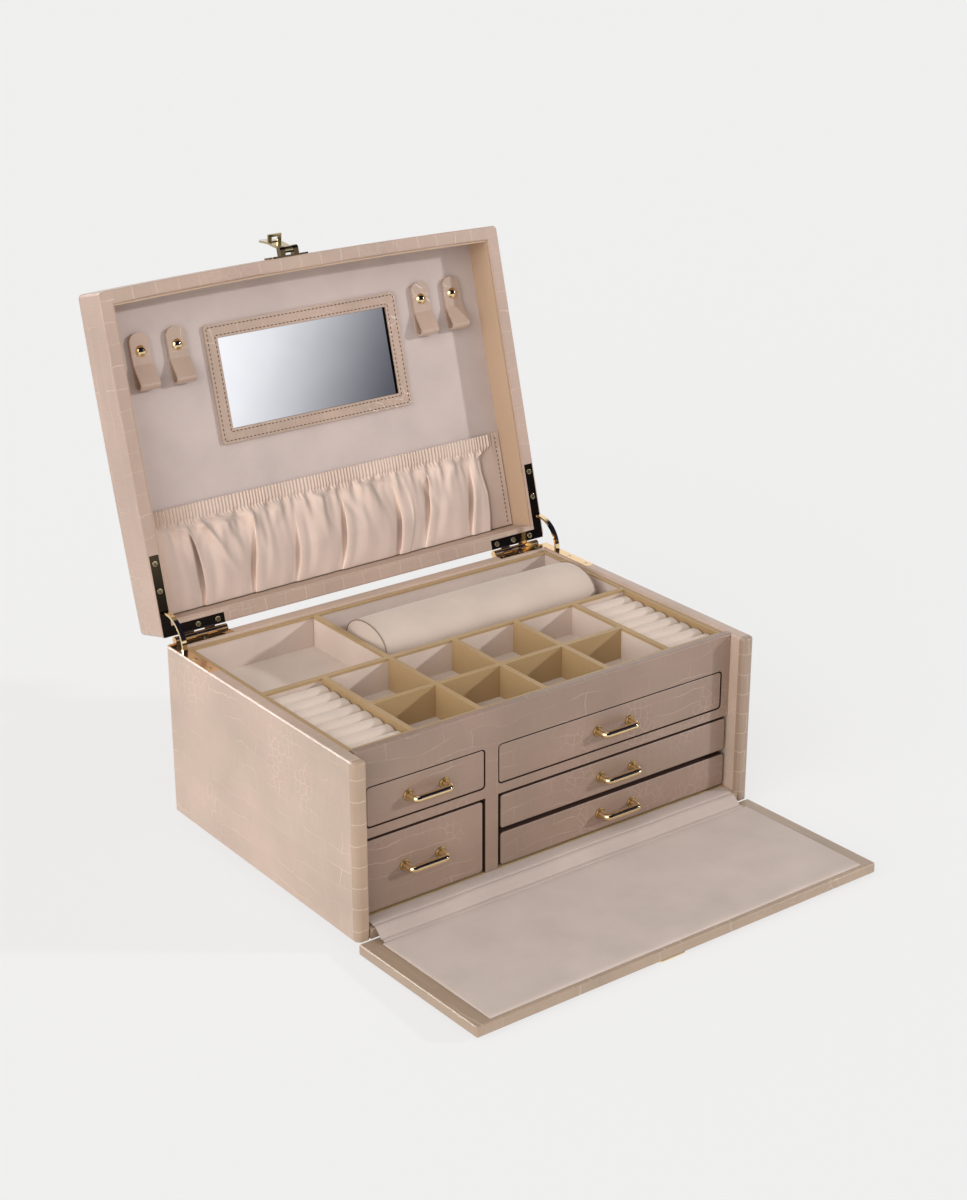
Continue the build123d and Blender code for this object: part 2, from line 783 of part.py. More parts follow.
def add_leaf(frame, side, up, first_knuckle):
    """Add one hinge leaf with its knuckles, slot and screw seats to the part being built."""
    face_z = up * lid_rim
    plate_plane = frame.offset(face_z)
    outward = up * leaf_thick
    extrude(plate_plane * leaf_face(side), amount=outward)
    knuckle = barrel_length / knuckle_count
    tab_low, tab_high = sorted((face_z, face_z + outward))
    for n in range(first_knuckle, knuckle_count, 2):
        start = leaf_rear_end_x + n * knuckle + knuckle_gap / 2
        begin = start if side > 0 else -start - knuckle + knuckle_gap
        with BuildSketch(facing_right(frame, begin), mode=Mode.PRIVATE) as section:
            Circle(barrel_radius)
            with Locations(((lid_rear - barrel_radius) / 2, (tab_low + tab_high) / 2)):
                Rectangle(-lid_rear + barrel_radius, leaf_thick)
            Circle(pin_radius + pin_clearance, mode=Mode.SUBTRACT)
        extrude(section.sketch, amount=knuckle - knuckle_gap)
    slot_half = stay_thick / 2 + stay_slot_gap
    slab(
        (side * stay_x - stay_width / 2 - stay_slot_gap, -stay_radius - slot_half, -leaf_thick - lid_gap),
        (side * stay_x + stay_width / 2 + stay_slot_gap, -stay_radius + slot_half, leaf_thick + lid_gap),
        Mode.SUBTRACT,
    )
    with BuildSketch(plate_plane, mode=Mode.PRIVATE) as seats:
        with Locations(*leaf_screw_places(side)):
            Circle(screw_radius + screw_gap)
    extrude(seats.sketch, amount=up * screw_seat, mode=Mode.SUBTRACT)


def add_screws(frame, side, up):
    """Add the flush screw heads of one hinge leaf to the part being built."""
    with BuildSketch(frame.offset(up * (lid_rim + screw_seat)), mode=Mode.PRIVATE) as heads:
        with Locations(*leaf_screw_places(side)):
            Circle(screw_radius)
    extrude(heads.sketch, amount=-up * (screw_seat + screw_proud))


# Corner hinges: lower leaves on the carcass, upper leaves in the lid rim
for leaf_frame, up, first_knuckle, owner in ((hinge_frame, -1, 0, "base"), (lid_frame, 1, 1, "lid")):
    with BuildPart(leaf_frame) as hinge_leaves:
        for side in (-1, 1):
            add_leaf(leaf_frame, side, up, first_knuckle)
    keep(hinge_leaves, f"{owner}_hinge_leaves")
    with BuildPart(leaf_frame) as hinge_screws:
        for side in (-1, 1):
            add_screws(leaf_frame, side, up)
    keep(hinge_screws, f"{owner}_hinge_screws")

with BuildPart() as hinge_pins:
    for begin in (leaf_rear_end_x, -leaf_rear_end_x - barrel_length):
        with BuildSketch(facing_right(hinge_frame, begin)):
            Circle(pin_radius)
        extrude(amount=barrel_length)
keep(hinge_pins, "hinge_pins")

# Quadrant stays, concentric with the hinge, with a stop head at each end
hinge_axis = Axis((0, hinge_y, hinge_z), (-1, 0, 0))
stay_ends = stay_head_start + stay_head_degrees
with BuildPart() as stay_arms:
    for side in (-1, 1):
        spans = (
            (-stay_ends, lid_open + 2 * stay_ends, stay_width),
            (-stay_ends, stay_head_degrees, stay_head_width),
            (lid_open + stay_head_start, stay_head_degrees, stay_head_width),
        )
        for begin, sweep_degrees, width in spans:
            with BuildSketch(hinge_frame.rotated((-begin, 0, 0))):
                with Locations((side * stay_x, -stay_radius)):
                    Rectangle(width, stay_thick)
            revolve(axis=hinge_axis, revolution_arc=sweep_degrees)
keep(stay_arms, "stay_arms")

# Clasp on the lid front
clasp_face = lid_front - lid_bow
clasp_axis_y = clasp_face - clasp_axis_reach
clasp_axis_z = lid_rim + clasp_axis_rise
clasp_frame = Plane(
    lid_frame.from_local_coords(Vector(clasp_x, clasp_axis_y, clasp_axis_z)),
    lid_frame.x_dir,
    lid_frame.z_dir,
)
clasp_bore = hasp_pin_radius + pin_clearance
ear_start = hasp_knuckle_length / 2 + clasp_ear_gap
with BuildPart() as clasp_plate:
    with BuildSketch(facing_front(lid_frame, clasp_face)):
        with Locations((clasp_x, lid_rim + clasp_plate_rise + clasp_plate_height / 2)):
            RectangleRounded(clasp_plate_width, clasp_plate_height, clasp_plate_round)
    extrude(amount=clasp_plate_thick)
    for begin in (ear_start, -ear_start - clasp_ear_length):
        with BuildSketch(facing_right(clasp_frame, begin)):
            Circle(clasp_barrel_radius)
            with Locations((clasp_axis_reach / 2, 0)):
                Rectangle(clasp_axis_reach, 2 * clasp_barrel_radius)
            Circle(clasp_bore, mode=Mode.SUBTRACT)
        extrude(amount=clasp_ear_length)
keep(clasp_plate, "clasp_plate")

with BuildPart() as clasp_pin:
    with BuildSketch(facing_right(clasp_frame, -ear_start - clasp_ear_length)):
        Circle(hasp_pin_radius)
    extrude(amount=2 * (ear_start + clasp_ear_length))
keep(clasp_pin, "clasp_pin")

# Hasp: plate with a slotted catch lip and a finger tab, flipped back on the lid
hasp_frame = clasp_frame.rotated((-hasp_turn, 0, 0))
keeper_face = flap_y - flap_thick - keeper_thick
hasp_lip = keeper_face - hinge_y - clasp_axis_y - hasp_lip_gap
half_hasp = hasp_thick / 2
with BuildPart(hasp_frame) as clasp_hasp:
    with BuildSketch(facing_right(hasp_frame, -hasp_width / 2)):
        with BuildLine():
            Polyline(
                (-half_hasp, -clasp_barrel_radius - clasp_ear_gap),
                (half_hasp, -clasp_barrel_radius - clasp_ear_gap),
                (half_hasp, hasp_thick - hasp_lip_drop),
                (hasp_lip, hasp_thick - hasp_lip_drop),
                (hasp_lip, -hasp_lip_drop),
                (half_hasp, -hasp_lip_drop),
                (half_hasp - hasp_tab_flare, -hasp_length),
                (-half_hasp - hasp_tab_flare, -hasp_length),
                (-half_hasp, -hasp_lip_drop),
                close=True,
            )
        make_face()
    extrude(amount=hasp_width)
    tab_end = clasp_hasp.faces().sort_by(Axis(hasp_frame.origin, hasp_frame.z_dir))[0]
    fillet(tab_end.edges().filter_by(lambda e: e.length < 2 * hasp_thick), radius=hasp_end_round)
    with BuildSketch(facing_right(hasp_frame, -hasp_knuckle_length / 2)):
        Circle(clasp_barrel_radius)
        with Locations((0, -clasp_barrel_radius)):
            Rectangle(hasp_thick, 2 * clasp_barrel_radius)
        Circle(clasp_bore, mode=Mode.SUBTRACT)
    extrude(amount=hasp_knuckle_length)
    slab(
        (-hasp_slot_width / 2, hasp_thick, -hasp_lip_drop - hasp_thick),
        (hasp_slot_width / 2, hasp_thick + hasp_slot_length, -hasp_lip_drop + 2 * hasp_thick),
        Mode.SUBTRACT,
    )
keep(clasp_hasp, "clasp_hasp")

# Front flap, drawn shut against the side walls and turned down
with BuildPart(flap_frame) as flap_board:
    slab((-half_width, -flap_thick, 0), (half_width, 0, flap_height))
    fillet(flap_board.edges(), radius=flap_edge_round)
keep(flap_board, "flap_board")

with BuildPart(flap_frame) as flap_panel:
    panel_half = half_width - flap_panel_side_border
    panel_top = flap_height - flap_panel_top_border
    slab((-panel_half, 0, flap_panel_start), (panel_half, flap_panel_thick, panel_top))
    panel_face = flap_panel.faces().sort_by(Axis(flap_frame.origin, flap_frame.y_dir))[-1]
    fillet(panel_face.edges(), radius=flap_panel_round)
keep(flap_panel, "flap_panel")

# Keeper on the flap, with a rib that the lip of the hasp snaps under
lip_top = clasp_axis_z + hinge_z - hasp_lip_drop + hasp_thick
rib_low = lip_top - wall_bottom + keeper_latch_gap
with BuildPart(flap_frame) as clasp_keeper:
    keeper_mid = rib_low + keeper_rib_height / 2
    with BuildSketch(facing_front(flap_frame, -flap_thick)):
        with Locations((clasp_x, keeper_mid)):
            RectangleRounded(keeper_width, keeper_height, keeper_round)
    extrude(amount=keeper_thick)
    with BuildSketch(facing_front(flap_frame, -flap_thick - keeper_thick)):
        with Locations((clasp_x, keeper_mid)):
            Rectangle(keeper_rib_length, keeper_rib_height)
    extrude(amount=keeper_rib)
keep(clasp_keeper, "clasp_keeper")

# Velvet strip from the ledge over the edge of the box to the flap
strip_half = side_in - strip_side_gap
strip_top = floor_top + strip_thick
landing = flap_frame.from_local_coords(Vector(0, joint_gap, strip_landing))
landing_end = flap_frame.from_local_coords(Vector(0, joint_gap, strip_landing + strip_reach))
lift = strip_thick
with BuildPart() as flap_hinge_strip:
    with BuildSketch(facing_right(Plane.XY, -strip_half)):
        with BuildLine():
            Polyline(
                (frame_front - slide_gap, floor_top),
                (frame_front - slide_gap, strip_top),
                (front_y, strip_top),
                (front_y - strip_fall, landing.Z + lift + strip_thick),
                (landing_end.Y, landing_end.Z + lift),
                (landing_end.Y, landing_end.Z),
                (landing.Y, landing.Z),
                (front_y - joint_gap, floor_top),
                close=True,
            )
        make_face()
    extrude(amount=2 * strip_half)
keep(flap_hinge_strip, "flap_hinge_strip")
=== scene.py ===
# %% [markdown]
# # Jewellery box with drawers
# The box is boards covered in embossed leatherette, lined with short velvet and
# fitted with polished brass. The boards, drawers and metal come from the measured
# model; here they get their finishes, and the soft pieces get their real shapes.

import math
import bpy
import numpy as np
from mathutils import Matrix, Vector


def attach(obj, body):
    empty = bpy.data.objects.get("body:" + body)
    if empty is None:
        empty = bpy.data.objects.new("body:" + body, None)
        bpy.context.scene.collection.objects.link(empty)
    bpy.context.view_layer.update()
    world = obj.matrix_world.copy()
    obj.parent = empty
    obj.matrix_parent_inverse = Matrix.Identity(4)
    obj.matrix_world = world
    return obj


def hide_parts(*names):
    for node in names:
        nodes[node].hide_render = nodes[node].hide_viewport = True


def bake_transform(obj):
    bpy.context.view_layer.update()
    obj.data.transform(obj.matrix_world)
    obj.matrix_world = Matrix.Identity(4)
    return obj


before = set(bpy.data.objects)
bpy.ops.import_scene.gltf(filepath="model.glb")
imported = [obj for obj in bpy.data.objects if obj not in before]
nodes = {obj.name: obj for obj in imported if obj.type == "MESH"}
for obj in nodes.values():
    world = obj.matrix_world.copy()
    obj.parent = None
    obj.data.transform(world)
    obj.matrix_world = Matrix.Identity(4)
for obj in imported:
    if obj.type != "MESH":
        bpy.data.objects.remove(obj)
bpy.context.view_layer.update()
mm = 0.001

# %% [markdown]
# ## Places on the open lid and the lowered flap
# The lid stands open past upright and the flap lies almost flat. Pieces on them are
# easiest to shape in the board's own sizes, so two small functions turn a place on
# each board into a place in the room.

# %% Places on the boards
lid_lean = math.radians(15)
lid_axis_y, lid_axis_z = 113.7, 127.7
lid_edge_gap, lid_rim_gap = 3.2, 0.2
lid_length, lid_lining_deep = 228.7, 23.2
flap_drop = math.radians(88.6)
flap_axis_y, flap_axis_z = -110.8, 7.5
flap_length = 119.7


def on_lid(across, up, deep):
    """Room place, mm, of a point on the open lid: across is X, up runs from the lid's hinge edge
    towards its front edge, deep is the depth behind the rim. Both turn by the lid's lean about the
    hinge line."""
    along, inward = lid_edge_gap + up, lid_rim_gap + deep
    y = lid_axis_y + math.sin(lid_lean) * along + math.cos(lid_lean) * inward
    z = lid_axis_z + math.cos(lid_lean) * along - math.sin(lid_lean) * inward
    return np.stack(np.broadcast_arrays(across, y, z), -1)


def on_flap(across, rise, out):
    """Room place, mm, of a point on the lowered flap: out is the distance from its hinge, rise the
    height over its inner face. Both turn by the flap's drop about its hinge line."""
    y = flap_axis_y + math.cos(flap_drop) * rise - math.sin(flap_drop) * out
    z = flap_axis_z + math.sin(flap_drop) * rise + math.cos(flap_drop) * out
    return np.stack(np.broadcast_arrays(across, y, z), -1)


print("lid front edge at", on_lid(0.0, lid_length, 0.0).round(1))
print("flap far edge at", on_flap(0.0, 0.0, flap_length).round(1))

# %% [markdown]
# ## Helpers for surfaces
# A soft piece is a grid of points, rows by columns, worked out all at once with
# numpy. One helper joins the grid into faces and another makes the object, lets it
# move with its board and, where it stands for a simple solid, hides that solid.


# %% Grid surfaces
def grid_faces(rows, columns, round_rows=False, round_columns=False):
    """Four-cornered faces of a grid: each point joins the next row and the next column, and wraps
    where round."""
    i = np.arange(rows if round_rows else rows - 1)[:, None]
    j = np.arange(columns if round_columns else columns - 1)[None, :]
    below, beside = (i + 1) % rows, (j + 1) % columns
    corners = [i * columns + j, below * columns + j, below * columns + beside, i * columns + beside]
    return np.stack(np.broadcast_arrays(*corners), -1).reshape(-1, 4)


def with_rims(start, end, rim, inset, count):
    """Places from start to end: even ones between the insets, and closer ones at each rim."""
    inner = np.linspace(start + inset, end - inset, count)
    return np.concatenate([start + np.array(rim), inner, end - np.array(rim)[::-1]])


def make_piece(name, points, faces, material, body=None, stands_for=()):
    """Smooth-shaded object from points in mm; it rides on the body and stands for the named solids."""
    mesh = bpy.data.meshes.new(name)
    face_list = faces if isinstance(faces, list) else faces.tolist()
    mesh.from_pydata(np.asarray(points).reshape(-1, 3) * mm, [], face_list)
    mesh.polygons.foreach_set("use_smooth", np.ones(len(mesh.polygons), bool))
    mesh.update()
    piece = bpy.data.objects.new(name, mesh)
    bpy.context.scene.collection.objects.link(piece)
    mesh.materials.append(material)
    if body:
        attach(piece, body)
    if stands_for:
        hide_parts(*stands_for)
    print(name, len(mesh.vertices), "points")
    return piece


print("surface helpers ready")

# %% [markdown]
# ## Helpers for finishes
# Every finish is made of small shader nodes fed by the object's own coordinates, in
# millimetres, so a pattern keeps its real size. Effects that several finishes share
# are node groups.


# %% Node helpers
def add_node(tree, kind, inputs=(), **options):
    """A shader node with its options set and its inputs filled by name or in order, from values or
    other outputs."""
    node = tree.nodes.new("ShaderNode" + kind)
    for key, value in options.items():
        setattr(node, key, value)
    pairs = inputs.items() if isinstance(inputs, dict) else enumerate(inputs)
    for key, value in pairs:
        if isinstance(value, bpy.types.NodeSocket):
            tree.links.new(value, node.inputs[key])
        elif value is not None:
            node.inputs[key].default_value = value
    return node


def calc(tree, operation, *values):
    """Output of a sum on single values."""
    return add_node(tree, "Math", values, operation=operation).outputs[0]


def vector_calc(tree, operation, *values):
    """Output of a sum on vectors."""
    return add_node(tree, "VectorMath", values, operation=operation).outputs[0]


def scaled(tree, vector, factor):
    """The vector times one factor."""
    return add_node(tree, "VectorMath", {0: vector, "Scale": factor}, operation="SCALE").outputs[0]


def ramp(tree, value, low, high, start=0.0, end=1.0):
    """Smooth change from start to end while value goes from low to high."""
    inputs = (value, low, high, start, end)
    return add_node(tree, "MapRange", inputs, interpolation_type="SMOOTHSTEP").outputs[0]


def noise(tree, place, scale, detail=2.0):
    """Cloudy pattern; output 0 is its value and output 1 three values as a vector."""
    return add_node(tree, "TexNoise", {"Vector": place, "Scale": scale, "Detail": detail})


def mix_colour(tree, factor, first, second, blend="MIX"):
    """Colour between the first, at factor 0, and the second, at factor 1."""
    inputs = {0: factor, 6: first, 7: second}
    return add_node(tree, "Mix", inputs, data_type="RGBA", blend_type=blend).outputs[2]


def new_group(name, takes, gives):
    """Empty node group with named inputs and outputs."""
    group = bpy.data.node_groups.new(name, "ShaderNodeTree")
    for label, kind in takes:
        group.interface.new_socket(label, in_out="INPUT", socket_type="NodeSocket" + kind)
    for label, kind in gives:
        group.interface.new_socket(label, in_out="OUTPUT", socket_type="NodeSocket" + kind)
    return group, group.nodes.new("NodeGroupInput").outputs, group.nodes.new("NodeGroupOutput").inputs


def use_group(tree, group, **inputs):
    """Outputs of a node group with its named inputs filled from values or other outputs."""
    node = tree.nodes.new("ShaderNodeGroup")
    node.node_tree = group
    for key, value in inputs.items():
        label = key.replace("_", " ")
        if isinstance(value, bpy.types.NodeSocket):
            tree.links.new(value, node.inputs[label])
        else:
            node.inputs[label].default_value = value
    return node.outputs


def new_material(name, turn=0.0, **settings):
    """Material with its shader's constants set; returns it with its tree, shader, place in mm and the
    way the face looks. turn, in degrees about X, lays a board that leans back into its closed position
    so that the pattern runs along it."""
    material = bpy.data.materials.new(name)
    material.use_nodes = True
    tree = material.node_tree
    principled = tree.nodes["Principled BSDF"]
    for key, value in settings.items():
        principled.inputs[key.replace("_", " ")].default_value = value
    source = tree.nodes.new("ShaderNodeTexCoord")
    spin = (math.radians(turn), 0.0, 0.0)
    to_mm = {0: source.outputs["Object"], "Rotation": spin, "Scale": (1 / mm,) * 3}
    place = add_node(tree, "Mapping", to_mm)
    turned = {0: source.outputs["Normal"], "Rotation": spin}
    facing = add_node(tree, "Mapping", turned, vector_type="VECTOR")
    return material, tree, principled, place.outputs[0], facing.outputs[0]


def connect_bump(tree, principled, height, distance, strength):
    """Lets a height of the given distance, mm, tilt the surface's normal."""
    bump = add_node(tree, "Bump", {"Strength": strength, "Distance": distance * mm, "Height": height})
    tree.links.new(bump.outputs[0], principled.inputs["Normal"])


print("node helpers ready")

# %% [markdown]
# ## Embossed leatherette
# The covering is pressed with a reptile pattern: broad scales in rows, finer round
# scales in patches, and pale worn ridges between them. A picture of leather could be
# wrapped round the boards, but flat cell patterns keep their real size and show no
# seams. The face's direction picks which two of its coordinates to use, so each
# board carries the pattern flat on its own face, with its own scale size.


# %% Reptile pattern group
def reptile_group():
    """Takes a place in mm and the way the face looks. Each face direction has its own scales: width,
    height, and how evenly their ridges show. Gives the pale ridges, the tone and the height of the
    pattern, and whether the face looks to the front or back."""
    takes = [("Place", "Vector"), ("Facing", "Vector")]
    takes += [("Side scale", "Vector"), ("Front scale", "Vector"), ("Top scale", "Vector")]
    gives = [("Ridges", "Float"), ("Tone", "Float"), ("Height", "Float"), ("Front", "Float")]
    group, given, result = new_group("Reptile pattern", takes, gives)
    facing = add_node(group, "SeparateXYZ", [given["Facing"]]).outputs
    size = [calc(group, "ABSOLUTE", facing[axis]) for axis in range(3)]
    side = calc(group, "GREATER_THAN", size[0], calc(group, "MAXIMUM", size[1], size[2]))
    top = calc(group, "GREATER_THAN", size[2], calc(group, "MAXIMUM", size[0], size[1]))
    front = calc(group, "SUBTRACT", calc(group, "SUBTRACT", 1.0, side), top)
    place = add_node(group, "SeparateXYZ", [given["Place"]]).outputs
    across = calc(group, "MULTIPLY_ADD", side, calc(group, "SUBTRACT", place[1], place[0]), place[0])
    along = calc(group, "MULTIPLY_ADD", top, calc(group, "SUBTRACT", place[1], place[2]), place[2])
    flat = add_node(group, "CombineXYZ", [across, along]).outputs[0]
    scale = vector_calc(
        group, "ADD", scaled(group, given["Side scale"], side), scaled(group, given["Front scale"], front)
    )
    scale = vector_calc(group, "ADD", scale, scaled(group, given["Top scale"], top))
    width, height, even = add_node(group, "SeparateXYZ", [scale]).outputs
    half = (0.5, 0.5, 0.5)
    slow = vector_calc(group, "SUBTRACT", noise(group, given["Place"], 0.02).outputs[1], half)
    quick = vector_calc(group, "SUBTRACT", noise(group, given["Place"], 0.16).outputs[1], half)
    loose = calc(group, "MULTIPLY_ADD", even, -20.0, 23.0)
    sway = vector_calc(group, "ADD", scaled(group, slow, loose), scaled(group, quick, 2.2))
    bent = vector_calc(group, "ADD", flat, sway)
    black, grey, white = (0, 0, 0, 1), (0.5, 0.5, 0.5, 1), (1, 1, 1, 1)
    rows = {"Vector": bent, "Scale": 1.0, "Color1": black, "Color2": white, "Mortar": grey}
    rows.update({"Mortar Size": 0.5, "Mortar Smooth": 0.9, "Brick Width": width, "Row Height": height})
    broad = add_node(group, "TexBrick", rows, offset=0.41).outputs
    cells = {"Vector": bent, "Scale": 0.16, "Randomness": 0.9}
    flat_edges = {"voronoi_dimensions": "2D", "feature": "DISTANCE_TO_EDGE"}
    fine = add_node(group, "TexVoronoi", cells, **flat_edges).outputs[0]
    patch = ramp(group, noise(group, given["Place"], 0.0105, 1.0).outputs[0], 0.55, 0.62)
    patch = calc(group, "MULTIPLY", patch, calc(group, "SUBTRACT", 1.0, even))
    fine_ridge = ramp(group, fine, 0.0, 0.09, 1.0, 0.0)
    ridge = add_node(group, "Mix", {0: patch, 2: broad[1], 3: fine_ridge}).outputs[0]
    fade = ramp(group, noise(group, given["Place"], 0.03).outputs[0], 0.4, 0.66, 0.05, 1.0)
    fade = calc(group, "MAXIMUM", fade, even)
    shown = calc(group, "MULTIPLY", ridge, fade)
    group.links.new(shown, result["Ridges"])
    pebble = noise(group, given["Place"], 0.5, 3.0).outputs[0]
    group.links.new(calc(group, "MULTIPLY_ADD", pebble, 0.35, shown), result["Height"])
    tint = add_node(group, "SeparateColor", [broad[0]]).outputs[0]
    streak = noise(group, vector_calc(group, "MULTIPLY", flat, (0.9, 0.06, 1.0)), 1.0, 3.0).outputs[0]
    cloud = noise(group, given["Place"], 0.018, 3.0).outputs[0]
    tone = calc(group, "MULTIPLY_ADD", tint, 0.035, calc(group, "MULTIPLY_ADD", streak, 0.14, 0.7))
    group.links.new(calc(group, "MULTIPLY_ADD", cloud, 0.4, tone), result["Tone"])
    group.links.new(front, result["Front"])
    return group


reptile = reptile_group()
print("pattern group:", reptile.name)

# %% [markdown]
# ## Leather finishes
# Every board has the same covering in a tint of its own, because it meets the light at
# its own angle, so the tints are partly painted light and shade. Where a board's front
# edge or rim has other scales or a darker tint as painted shade, a limit on the place
# picks it out. The sides of drawer fronts and of the openings are painted dark as the
# shade in the gaps between them, and are dull.


# %% Leather finishes
def passed(tree, place, limits):
    """One where the place lies beyond any of the limits, each a direction and a distance in mm, and
    else zero."""
    mask = 0.0
    for direction, distance in limits:
        reach = add_node(tree, "VectorMath", [place, direction], operation="DOT_PRODUCT").outputs["Value"]
        mask = calc(tree, "MAXIMUM", mask, calc(tree, "GREATER_THAN", reach, distance))
    return mask


# Painted shade of the gaps round the drawers, and how much duller the faces that carry it are.
PAINTED_GAP_SHADE, EDGE_DULLNESS = (0.05, 0.018, 0.009), 0.55


def leather_material(name, colour, ridge_colour, side, front, top, turn=0.0, **look):
    """Leatherette with scales (width, height, evenness) on side, front and top faces. Below the height
    edges_below, mm, faces that don't look to the front are painted dark as the shade in the gaps,
    and are dull. Beyond the limits in zone the colour and the scales are zone_colour, zone_side
    and zone_top, where zone_colour is a darker tint as painted shade; line is how clearly pale
    ridges show."""
    rough, coat = look.get("rough", 0.4), look.get("coat", 0.3)
    constants = {"Roughness": rough, "Coat_Weight": coat, "Coat_Roughness": 0.2}
    material, tree, principled, place, facing = new_material(name, turn, **constants)
    zone = passed(tree, place, look.get("zone", ()))
    outside = calc(tree, "SUBTRACT", 1.0, zone)
    scales = {"Side_scale": (side, "zone_side"), "Top_scale": (top, "zone_top")}
    for key, (plain, special) in scales.items():
        beyond = scaled(tree, look.get(special, plain), zone)
        scales[key] = vector_calc(tree, "ADD", scaled(tree, plain, outside), beyond)
    pattern = use_group(tree, reptile, Place=place, Facing=facing, Front_scale=front, **scales)
    blush = ramp(tree, noise(tree, place, 0.022, 3.0).outputs[0], 0.4, 0.6)
    greyed = (colour[0] * 0.96, colour[1] * 0.975, colour[2] * 0.955, 1)
    base = mix_colour(tree, blush, greyed, (colour[0] * 1.01, colour[1], colour[2], 1))
    # Painted shade: beyond the zone limits the colour turns to the darker zone_colour tint.
    base = mix_colour(tree, zone, base, (*look.get("zone_colour", colour), 1))
    shaded = mix_colour(tree, 1.0, base, pattern["Tone"], "MULTIPLY")
    worn = calc(tree, "MULTIPLY", pattern["Ridges"], look.get("line", 0.6))
    lined = mix_colour(tree, worn, shaded, (*ridge_colour, 1))
    # Painted shade: low faces that don't look to the front are coloured dark as the gaps they face.
    if "edges_below" in look:
        height = add_node(tree, "SeparateXYZ", [place]).outputs[2]
        gap_shade_mask = calc(tree, "LESS_THAN", height, look["edges_below"])
        gap_shade_mask = calc(tree, "MULTIPLY", gap_shade_mask, calc(tree, "SUBTRACT", 1.0, pattern["Front"]))
        lined = mix_colour(tree, gap_shade_mask, lined, (*PAINTED_GAP_SHADE, 1))
        shine = calc(tree, "SUBTRACT", 1.0, gap_shade_mask)
        tree.links.new(calc(tree, "MULTIPLY", shine, coat), principled.inputs["Coat Weight"])
        dulled = calc(tree, "MULTIPLY_ADD", gap_shade_mask, EDGE_DULLNESS, rough)
        tree.links.new(dulled, principled.inputs["Roughness"])
    tree.links.new(lined, principled.inputs["Base Color"])
    connect_bump(tree, principled, pattern["Height"], 0.22, look.get("bump", 0.4))
    return material


# Painted shade: PAINTED_SHADE_BEIGE and its ridges are the beige covering darkened, for the fronts.
# ROSE, for the lid, is a pinker covering that is also darkened as painted shade.
BEIGE, RIDGE = (0.55, 0.41, 0.33), (0.74, 0.58, 0.46)
PAINTED_SHADE_BEIGE, PAINTED_SHADE_RIDGE = (0.31, 0.212, 0.163), (0.5, 0.37, 0.29)
ROSE, ROSE_RIDGE = (0.49, 0.35, 0.28), (0.74, 0.58, 0.47)
BAND, front_edge = (60, 14.5, 0.95), [((0, -1, 0), 105.5)]
side_board = dict(side=(95, 13, 0.1), front=BAND, top=(60, 21, 0.7), zone=front_edge, zone_side=BAND)
# The side boards' front edges get a darker tint as painted shade, darkest on the right board.
leather = leather_material("leather", BEIGE, RIDGE, zone_colour=(0.45, 0.32, 0.23), **side_board)
right_leather = leather_material(
    "right_leather", BEIGE, RIDGE, zone_colour=(0.35, 0.25, 0.185), line=0.4, **side_board
)
front_leather = leather_material(
    "front_leather", PAINTED_SHADE_BEIGE, PAINTED_SHADE_RIDGE, (15, 15, 0.5), (80, 10.5, 0.15), (16, 16, 0.5), edges_below=118
)
frame_leather = leather_material(
    "frame_leather", PAINTED_SHADE_BEIGE, PAINTED_SHADE_RIDGE, (15, 15, 0.5), (44, 13, 0.05), (16, 30, 0.5), edges_below=118
)
lid_angle = 90 + math.degrees(lid_lean)
lid_sides = [((1, 0, 0), 149.8), ((-1, 0, 0), 149.8)]
lid_leather = leather_material(
    "lid_leather", ROSE, ROSE_RIDGE, (60, 13, 0.3), (60, 13, 0.3), (16, 70, 0.6), lid_angle,
    zone=lid_sides, zone_top=(70, 14, 0.35)
)
trim_leather = leather_material(
    "trim_leather", (0.5, 0.36, 0.285), ROSE_RIDGE, (12, 12, 0.3), (12, 12, 0.3), (22, 31, 0.1), lid_angle,
    rough=0.3, coat=0.7, bump=0.7
)
flap_leather = leather_material(
    "flap_leather", (0.4, 0.29, 0.21), ROSE_RIDGE, (60, 12, 0.2), (60, 12, 0.2), (14, 60, 0.2)
)
print("leather finishes:", [m.name for m in bpy.data.materials if "leather" in m.name])

# %% [markdown]
# ## Velvet and felt
# Short velvet scatters light softly and its nap lies in faint brushed patches. Hairs
# would be too many, and from a step away a soft sheen and a fine grain do as well. On the
# pocket, folds that turn left get a painted highlight and folds that turn right painted
# shade. The thin dividers are velvet on their faces and olive on their edges, so one
# finish changes colour near the top of the tray.


# %% Nap group and velvet finishes
def nap_group():
    """Takes a place in mm. Gives the nap's tone, fine grain over slow brushed patches, and its height."""
    group, given, result = new_group("Nap", [("Place", "Vector")], [("Tone", "Float"), ("Height", "Float")])
    grain = noise(group, given["Place"], 1.6, 2.0).outputs[0]
    brushed = noise(group, given["Place"], 0.03, 3.0).outputs[0]
    tone = calc(group, "MULTIPLY_ADD", grain, 0.12, calc(group, "MULTIPLY_ADD", brushed, 0.3, 0.79))
    group.links.new(tone, result["Tone"])
    group.links.new(grain, result["Height"])
    return group


nap = nap_group()
OLIVE = (0.45, 0.305, 0.155)


